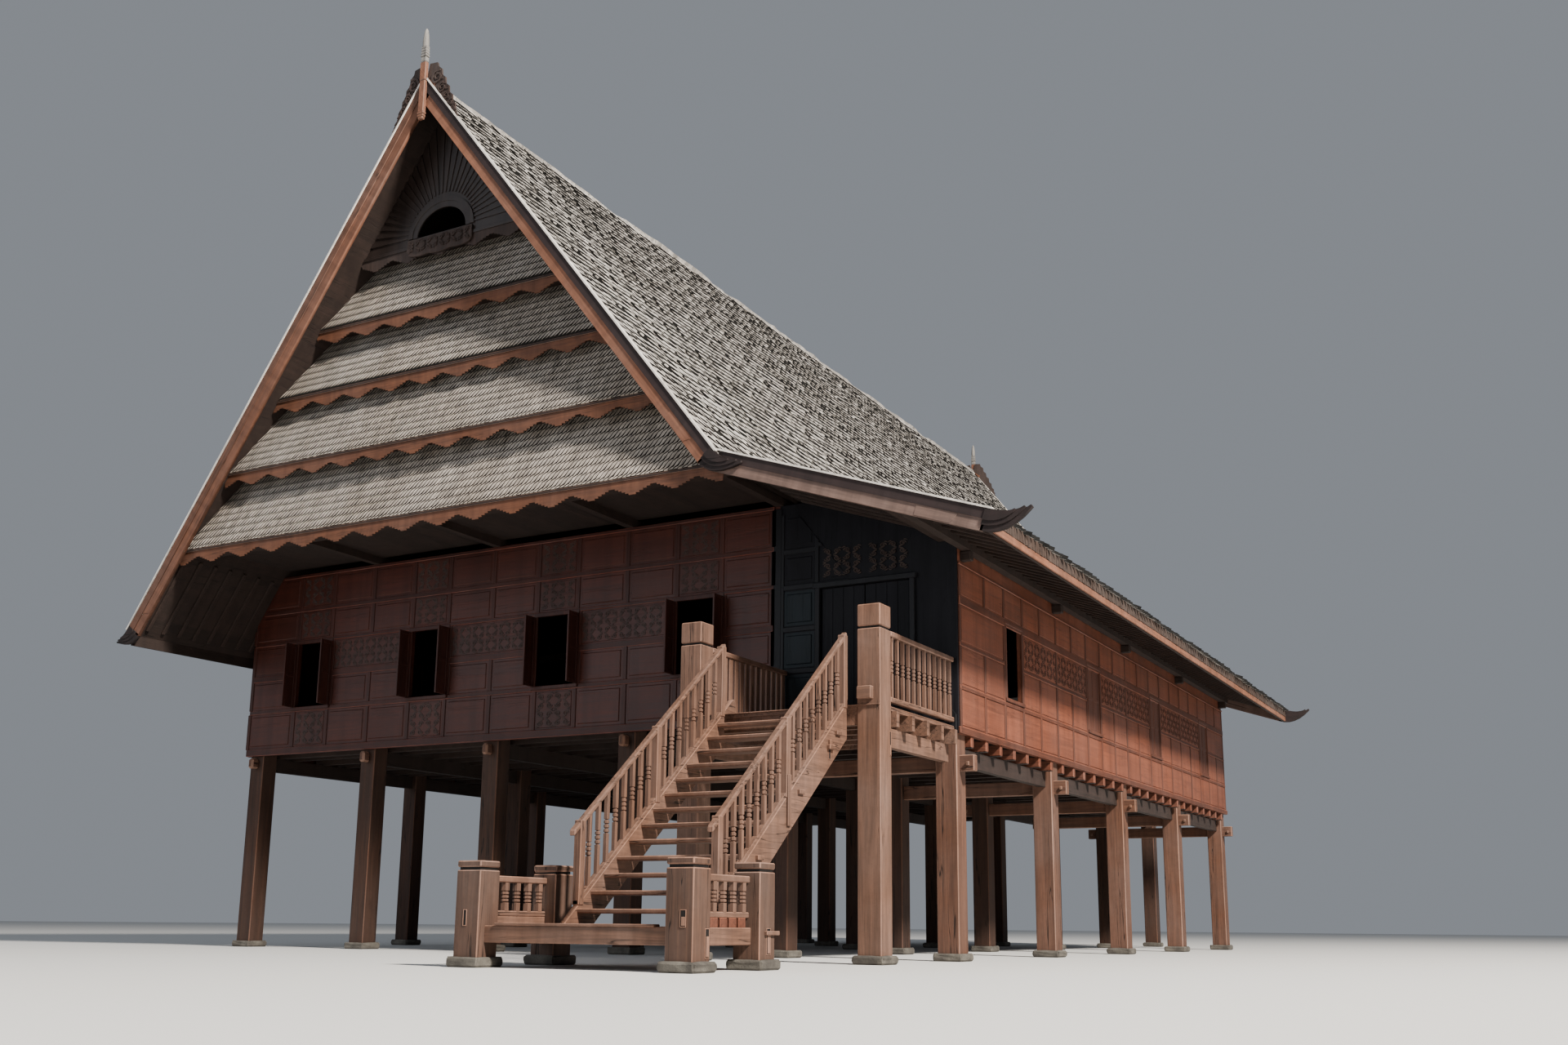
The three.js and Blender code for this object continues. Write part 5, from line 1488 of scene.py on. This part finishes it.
def edge_coat(piece, material):
    """Gives a slanted piece its material, and the small faces of its eased edges a worn one."""
    coat(piece, material)
    piece.data.materials.append(MATERIALS["worn edge"])
    biggest = max(face.area for face in piece.data.polygons)
    for face in piece.data.polygons:
        face.material_index = int(face.area < 0.045 * biggest)
    return piece


def stair():
    """Two stringers with thirteen open treads, worn at their front edges."""
    left, right, foot = -2.02, -0.28, 0.4
    def y_at(z):
        return FIRST_Y + (z - FIRST_Z) / STEEP
    depth, lift = 0.43, 0.03
    top = nosing(STAIR_TOP_Y) + lift
    shape = [(STAIR_TOP_Y, top), (y_at(foot - lift), foot), (y_at(foot - lift + depth), foot),
             (STAIR_TOP_Y, top - depth)]
    across = Matrix.Rotation(math.radians(-90), 4, "Z")
    parts = []
    for x in (left, right - 0.07):
        board = outline([(-y, z) for y, z in shape], 0.07)
        board.data.transform(Matrix.Translation((x, 0, 0)) @ across)
        edit(board)
        bpy.ops.mesh.dissolve_limited(angle_limit=0.02)
        bpy.ops.mesh.select_all(action="SELECT")
        bpy.ops.mesh.bevel(offset=0.008, segments=1, affect="EDGES")
        done()
        parts.append(edge_coat(board, "pale y"))
    for i in range(13):
        z = FIRST_Z - i * RISE
        y = y_at(z)
        tread = block((left + 0.02, y - 0.012, z - 0.048), (right - 0.02, min(y + 0.26, STAIR_TOP_Y), z), 0.011)
        parts.append(coat(roughened(tread, 0.003, 300 + i), "pale x", "worn edge"))
        if i % 4 == 1:
            for x0, x1 in ((left - 0.035, left + 0.005), (right - 0.005, right + 0.035)):
                parts.append(worn((x0, y + 0.07, z - 0.06), (x1, y + 0.19, z - 0.01), 0.006, "pale x"))
    heel = outline([(2.45, 2.956), (2.2, 2.956), (2.2, 3.12), (2.24, 3.155), (2.28, 3.135), (2.45, 2.985)], 0.07,
                   bevel=0.006)
    heel.data.transform(Matrix.Translation((left, 0, 0)) @ across)
    parts.append(coat(heel, "pale y", "worn edge"))
    parts.append(worn((right - 0.01, -2.965, 2.385), (right + 0.045, -2.83, 2.44), 0.008, "pale y"))
    parts.append(worn((right - 0.01, -2.93, 2.42), (right + 0.03, -2.87, 2.5), 0.006, "pale z"))
    parts += mortise("right", (right, -2.9), 0.02, 2.28, 2.385, 0)
    finish(joined(parts), "stair_treads", ["stair_flight"])


def stair_rails(sizes):
    """Handrails, shoe rails, turned balusters and three square newels on each side."""
    foot, end = -5.25, -5.36
    last = STAIR_TOP_Y - 0.045
    middle = (foot + last) / 2
    count = 17
    pitch = (last - foot) / (count + 1)
    base = baluster(0.78, sizes.stair_baluster)
    for side, x in (("left", -1.985), ("right", -0.315)):
        parts = [
            edge_coat(slanted(x, 0.04, end - 0.03, STAIR_TOP_Y, 0.81, 0.88, 0.014), "pale y"),
            edge_coat(slanted(x, 0.035, foot - 0.045, STAIR_TOP_Y, 0.0305, 0.09, 0.008), "pale y"),
        ]
        for y in (foot, middle, last):
            parts.append(worn((x - 0.045, y - 0.045, nosing(y)), (x + 0.045, y + 0.045, nosing(y) + 0.87), 0.007,
                              "pale z"))
        for i in range(count):
            y = foot + (i + 1) * pitch
            if abs(y - middle) > 0.06:
                parts.append(moved(base, x, y, nosing(y) + 0.06))
        outer = x - 0.05 if side == "left" else x + 0.05
        low = nosing(middle)
        parts.append(worn((outer - 0.012, middle - 0.035, low - 0.3), (outer + 0.012, middle + 0.035, low + 0.25),
                          0.005, "pale z"))
        finish(joined(parts), f"stair_balustrade_{side}", [f"stair_rail_{side}"])
    drop(base)


def platform(sizes):
    """Four capped posts on stones, sills with wedged tenons, low rails with turned balusters, and the floor."""
    front, back = -6.25, -5.05
    parts = []
    for number, (x, y) in enumerate(((-2.465, front), (0.0, front), (-2.465, back), (0.0, back))):
        piece = capped_post(x, y, 1.025, 0.925, number, "platform post painted shade")
        if number == 2:
            roughened(piece, 0.016, 93, lambda co, normal: co.z > 0.96)
        parts.append(piece)
    for x in (-2.465, 0.0):
        parts += [
            worn((x - 0.05, front, 0.236), (x + 0.05, back, 0.4), 0.008, "pale y"),
            worn((x - 0.04, front + 0.15, 0.825), (x + 0.04, back - 0.15, 0.89), 0.01, "pale y"),
            worn((x - 0.03, front + 0.15, 0.49), (x + 0.03, back - 0.15, 0.545), 0.008, "pale y"),
        ]
        stick = baluster(0.29, sizes.platform_baluster)
        pitch = (back - front - 0.3) / 5
        for i in range(5):
            parts.append(moved(stick, x, front + 0.15 + (i + 0.5) * pitch, 0.54))
        drop(stick)
    for i in range(5):
        y = front + 0.17 + i * 0.17
        parts.append(coat(block((-0.045, y, 0.399), (0.035, y + 0.125, 0.491), 0.004), "joist end", "side edge painted highlight"))
    parts.append(worn((-2.5, front + 0.15, 0.399), (-2.44, back - 0.15, 0.491), 0.006, "pale y"))
    lip = roughened(block((-2.19, front - 0.065, 0.4), (-0.33, front + 0.045, 0.426), 0.006), 0.003, 92)
    parts.append(coat(lip, "pale x", "worn edge"))
    parts += mortise("front", (0.043, front - 0.15), 0.027, 0.405, 0.55)
    parts += mortise("right", (0.15, front + 0.09), 0.03, 0.13, 0.385, 0.75)
    parts += mortise("front", (-2.484, front - 0.15), 0.016, 0.4, 0.544, 0)
    parts += mortise("right", (0.15, back + 0.02), 0.034, 0.15, 0.39, 0.8)
    parts.append(worn((0.14, back - 0.06, 0.33), (0.185, back + 0.19, 0.37), 0.006, "pale y"))
    for y in (front, back):
        parts.append(worn((-2.465, y - 0.05, 0.236), (0.0, y + 0.05, 0.4), 0.008, "pale x"))
    finish(joined(parts), "platform_posts_and_rails", ["platform_frame"])
    boards = []
    for i in range(6):
        y = front + 0.05 + i * 0.1836
        x0, x1 = (-2.31, -0.155) if i in (0, 5) else (-2.414, -0.051)
        boards.append(worn((x0, y, 0.372), (x1, y + 0.18, 0.404), 0.005, "pale x"))
    finish(joined(boards), "platform_boards")


# --- Camera, light and floor ------------------------------------------------------------------------------------

def studio():
    clear()
    bpy.ops.mesh.primitive_plane_add(size=400, location=(-4, 8, -0.002))
    floor = bpy.context.active_object
    floor.name = "floor"
    settle(floor)
    pale = bpy.data.materials.new("floor")
    pale.use_nodes = True
    surface = pale.node_tree.nodes["Principled BSDF"]
    surface.inputs["Base Color"].default_value = (0.58, 0.58, 0.57, 1)
    surface.inputs["Roughness"].default_value = 0.9
    floor.data.materials.append(pale)

    world = bpy.data.worlds.new("studio")
    bpy.context.scene.world = world
    world.use_nodes = True
    sky = world.node_tree.nodes["Background"]
    sky.inputs["Color"].default_value = (0.8, 0.86, 0.95, 1)
    sky.inputs["Strength"].default_value = 0.3

    def light(name, place, aim, size, power, colour):
        bpy.ops.object.light_add(type="AREA", location=place)
        lamp = bpy.context.active_object
        lamp.name = name
        lamp.data.size = size
        lamp.data.energy = power
        lamp.data.color = colour
        lamp.rotation_euler = (Vector(aim) - Vector(place)).to_track_quat("-Z", "Y").to_euler()

    light("key", (39, -17, 38), (-4, 4, 4), 6, 105000, (1.0, 0.93, 0.84))
    light("fill", (-26, -34, 14), (-6, 2, 5), 24, 4500, (0.86, 0.92, 1.0))

    eye = (7.3261, -17.7516, 0.4257)
    yaw, pitch, roll = -0.5051, 0.2071, 0.0092
    ahead = Vector((math.sin(yaw) * math.cos(pitch), math.cos(yaw) * math.cos(pitch), math.sin(pitch)))
    right = Vector((math.cos(yaw), -math.sin(yaw), 0))
    up = right.cross(ahead)
    across = math.cos(roll) * right + math.sin(roll) * up
    upright = -math.sin(roll) * right + math.cos(roll) * up
    bpy.ops.object.camera_add()
    camera = bpy.context.active_object
    camera.matrix_world = place_of((across, upright, -ahead), eye)
    camera.data.lens = 33.77
    camera.data.sensor_width = 36
    camera.data.shift_y = 0.0599
    camera.data.clip_end = 500
    bpy.context.scene.camera = camera


# --- The add-on -------------------------------------------------------------------------------------------------

def colour_of(name, description, default):
    return bpy.props.FloatVectorProperty(
        name=name, description=description, subtype="COLOR", size=3, min=0.0, max=1.0, default=default)


class HouseColours(bpy.types.PropertyGroup):
    post: colour_of("Posts", "Weathered brown of the posts and tie beams", (0.115, 0.05, 0.029))
    pale: colour_of("Stair and porch", "Pale weathered brown of the stair, porch and platform", (0.15, 0.074, 0.046))
    # dark brown wood, darkened further as painted shade under the floors and eaves
    dark: colour_of("Floors and rafters", "Dark brown of the joists, rafters and roof lining", (0.03, 0.017, 0.013))
    # dark red-brown wood, darkened further as painted shade of the overhang
    wall: colour_of("Hall walls", "Dark red-brown of the hall's panelled walls", (0.06, 0.014, 0.008))
    side_wall: colour_of("Aisle wall", "Orange red-brown of the aisle's panelled wall", (0.175, 0.052, 0.025))
    # dark wood, darkened further and tinted blue as painted shade under the porch roof
    entry: colour_of("Entry", "Blue black of the entry walls and the door", (0.008, 0.008, 0.011))
    # dark wood with a blue green tint that is a painted reflection of the sky
    entry_panel_sky_reflection: colour_of("Entry side panels", "Dark blue green of the panels by the door", (0.004, 0.009, 0.013))
    carving: colour_of("Carving", "Dark brown of the carved boards", (0.045, 0.027, 0.022))
    shingle: colour_of("Roof shingles", "Weathered grey of the roof shingles", (0.46, 0.43, 0.395))
    gable: colour_of("Gable shingles", "Grey beige of the gable shingles", (0.4, 0.34, 0.285))
    rake: colour_of("Rake boards", "Red-brown of the inner band of the rake boards", (0.2, 0.08, 0.043))
    rake_band: colour_of("Rake bands", "Dark purple brown of the outer band", (0.022, 0.012, 0.012))
    valance: colour_of("Valances", "Orange brown of the stepped valances", (0.12, 0.045, 0.022))


def length_of(name, description, default):
    return bpy.props.FloatProperty(
        name=name, description=description, unit="LENGTH", subtype="DISTANCE", min=0.01, max=0.5, default=default)


class HouseSizes(bpy.types.PropertyGroup):
    shingle_width: length_of("Roof shingle width", "Width of one split shingle of the roof", 0.17)
    shingle_course: length_of("Roof course", "Height of a shingle that shows below the course above it", 0.165)
    shingle_lift: length_of("Shingle lift", "How far the lower end of a roof shingle stands up", 0.034)
    gable_shingle_width: length_of("Gable shingle width", "Width of one slanted shingle of the gable", 0.074)
    gable_course: length_of("Gable course", "Height of a gable shingle that shows", 0.14)
    porch_baluster: length_of("Porch baluster", "Thickness of the sticks of the porch rail", 0.042)
    stair_baluster: length_of("Stair baluster", "Thickness of the sticks of the stair rails", 0.046)
    platform_baluster: length_of("Platform baluster", "Thickness of the sticks of the platform rails", 0.06)


class HouseOperator:
    bl_options = {"REGISTER", "UNDO"}


class HOUSE_OT_finishes(HouseOperator, bpy.types.Operator):
    """Makes the timber, shingle and stone finishes and gives them to the frame's own pieces"""
    bl_idname = "house.finishes"
    bl_label = "Finishes"

    def execute(self, context):
        make_finishes(context.scene.house_colours)
        coat_frame()
        return {"FINISHED"}


class HOUSE_OT_posts(HouseOperator, bpy.types.Operator):
    """Posts on their stones, tie beams, joists and bearer ends"""
    bl_idname = "house.posts"
    bl_label = "Posts and floors"

    def execute(self, context):
        post_rows()
        floor_timbers()
        return {"FINISHED"}


class HOUSE_OT_walls(HouseOperator, bpy.types.Operator):
    """Panels, frames and carving of every wall"""
    bl_idname = "house.walls"
    bl_label = "Walls"

    def execute(self, context):
        unit = carved_unit()
        hall_wall("front_wall", "front", COLUMNS, WINDOWS, (-12.84, CORNER - 0.09),
                  ("wall frame", "wall stile", "wall panel", "carving"), unit)
        side_wall(unit)
        other_walls(unit)
        entry_walls(unit)
        drop(unit)
        for piece in PANELS.values():
            drop(piece)
        PANELS.clear()
        return {"FINISHED"}


class HOUSE_OT_windows(HouseOperator, bpy.types.Operator):
    """Windows with their leaves, and the planked door"""
    bl_idname = "house.windows"
    bl_label = "Windows and door"

    def execute(self, context):
        front_windows()
        closed_windows()
        door_leaves()
        return {"FINISHED"}


class HOUSE_OT_roof(HouseOperator, bpy.types.Operator):
    """Shingles, eaves, rafters and rake boards"""
    bl_idname = "house.roof"
    bl_label = "Roof"

    def execute(self, context):
        roof_shingles(context.scene.house_sizes)
        eaves()
        rake_boards()
        return {"FINISHED"}


class HOUSE_OT_gables(HouseOperator, bpy.types.Operator):
    """Shingled tiers, sunburst, valances and the carved peaks at both ends"""
    bl_idname = "house.gables"
    bl_label = "Gables"

    def execute(self, context):
        unit = carved_unit()
        gables(unit, context.scene.house_sizes)
        drop(unit)
        peak_ornament()
        return {"FINISHED"}


class HOUSE_OT_porch(HouseOperator, bpy.types.Operator):
    """Porch posts, rails and floor boards"""
    bl_idname = "house.porch"
    bl_label = "Porch"

    def execute(self, context):
        porch(context.scene.house_sizes)
        return {"FINISHED"}


class HOUSE_OT_stair(HouseOperator, bpy.types.Operator):
    """The open stair with its balustrades"""
    bl_idname = "house.stair"
    bl_label = "Stair"

    def execute(self, context):
        stair()
        stair_rails(context.scene.house_sizes)
        return {"FINISHED"}


class HOUSE_OT_platform(HouseOperator, bpy.types.Operator):
    """The base platform with its posts, sills and rails"""
    bl_idname = "house.platform"
    bl_label = "Platform"

    def execute(self, context):
        platform(context.scene.house_sizes)
        return {"FINISHED"}


class HOUSE_OT_stage(HouseOperator, bpy.types.Operator):
    """Pale floor, soft studio light and the camera"""
    bl_idname = "house.stage"
    bl_label = "Stage"

    def execute(self, context):
        studio()
        return {"FINISHED"}


OPERATORS = (HOUSE_OT_finishes, HOUSE_OT_posts, HOUSE_OT_walls, HOUSE_OT_windows, HOUSE_OT_roof, HOUSE_OT_gables,
             HOUSE_OT_porch, HOUSE_OT_stair, HOUSE_OT_platform, HOUSE_OT_stage)


class HOUSE_PT_panel(bpy.types.Panel):
    """Lists the pieces of the house, and the sizes and colours that can be changed"""
    bl_idname = "HOUSE_PT_panel"
    bl_label = "Stilt house"
    bl_space_type = "VIEW_3D"
    bl_region_type = "UI"
    bl_category = "Stilt house"

    def draw(self, context):
        for group, kind in ((context.scene.house_sizes, HouseSizes), (context.scene.house_colours, HouseColours)):
            for name in kind.__annotations__:
                self.layout.prop(group, name)
        for operator in OPERATORS:
            self.layout.operator(operator.bl_idname)


CLASSES = (HouseSizes, HouseColours, *OPERATORS, HOUSE_PT_panel)


def register():
    for entry in CLASSES:
        bpy.utils.register_class(entry)
    bpy.types.Scene.house_sizes = bpy.props.PointerProperty(type=HouseSizes)
    bpy.types.Scene.house_colours = bpy.props.PointerProperty(type=HouseColours)


def unregister():
    del bpy.types.Scene.house_colours
    del bpy.types.Scene.house_sizes
    for entry in reversed(CLASSES):
        bpy.utils.unregister_class(entry)


def main():
    register()
    for operator in OPERATORS:
        getattr(bpy.ops.house, operator.bl_idname.split(".")[1])()


if __name__ == "__main__":
    main()
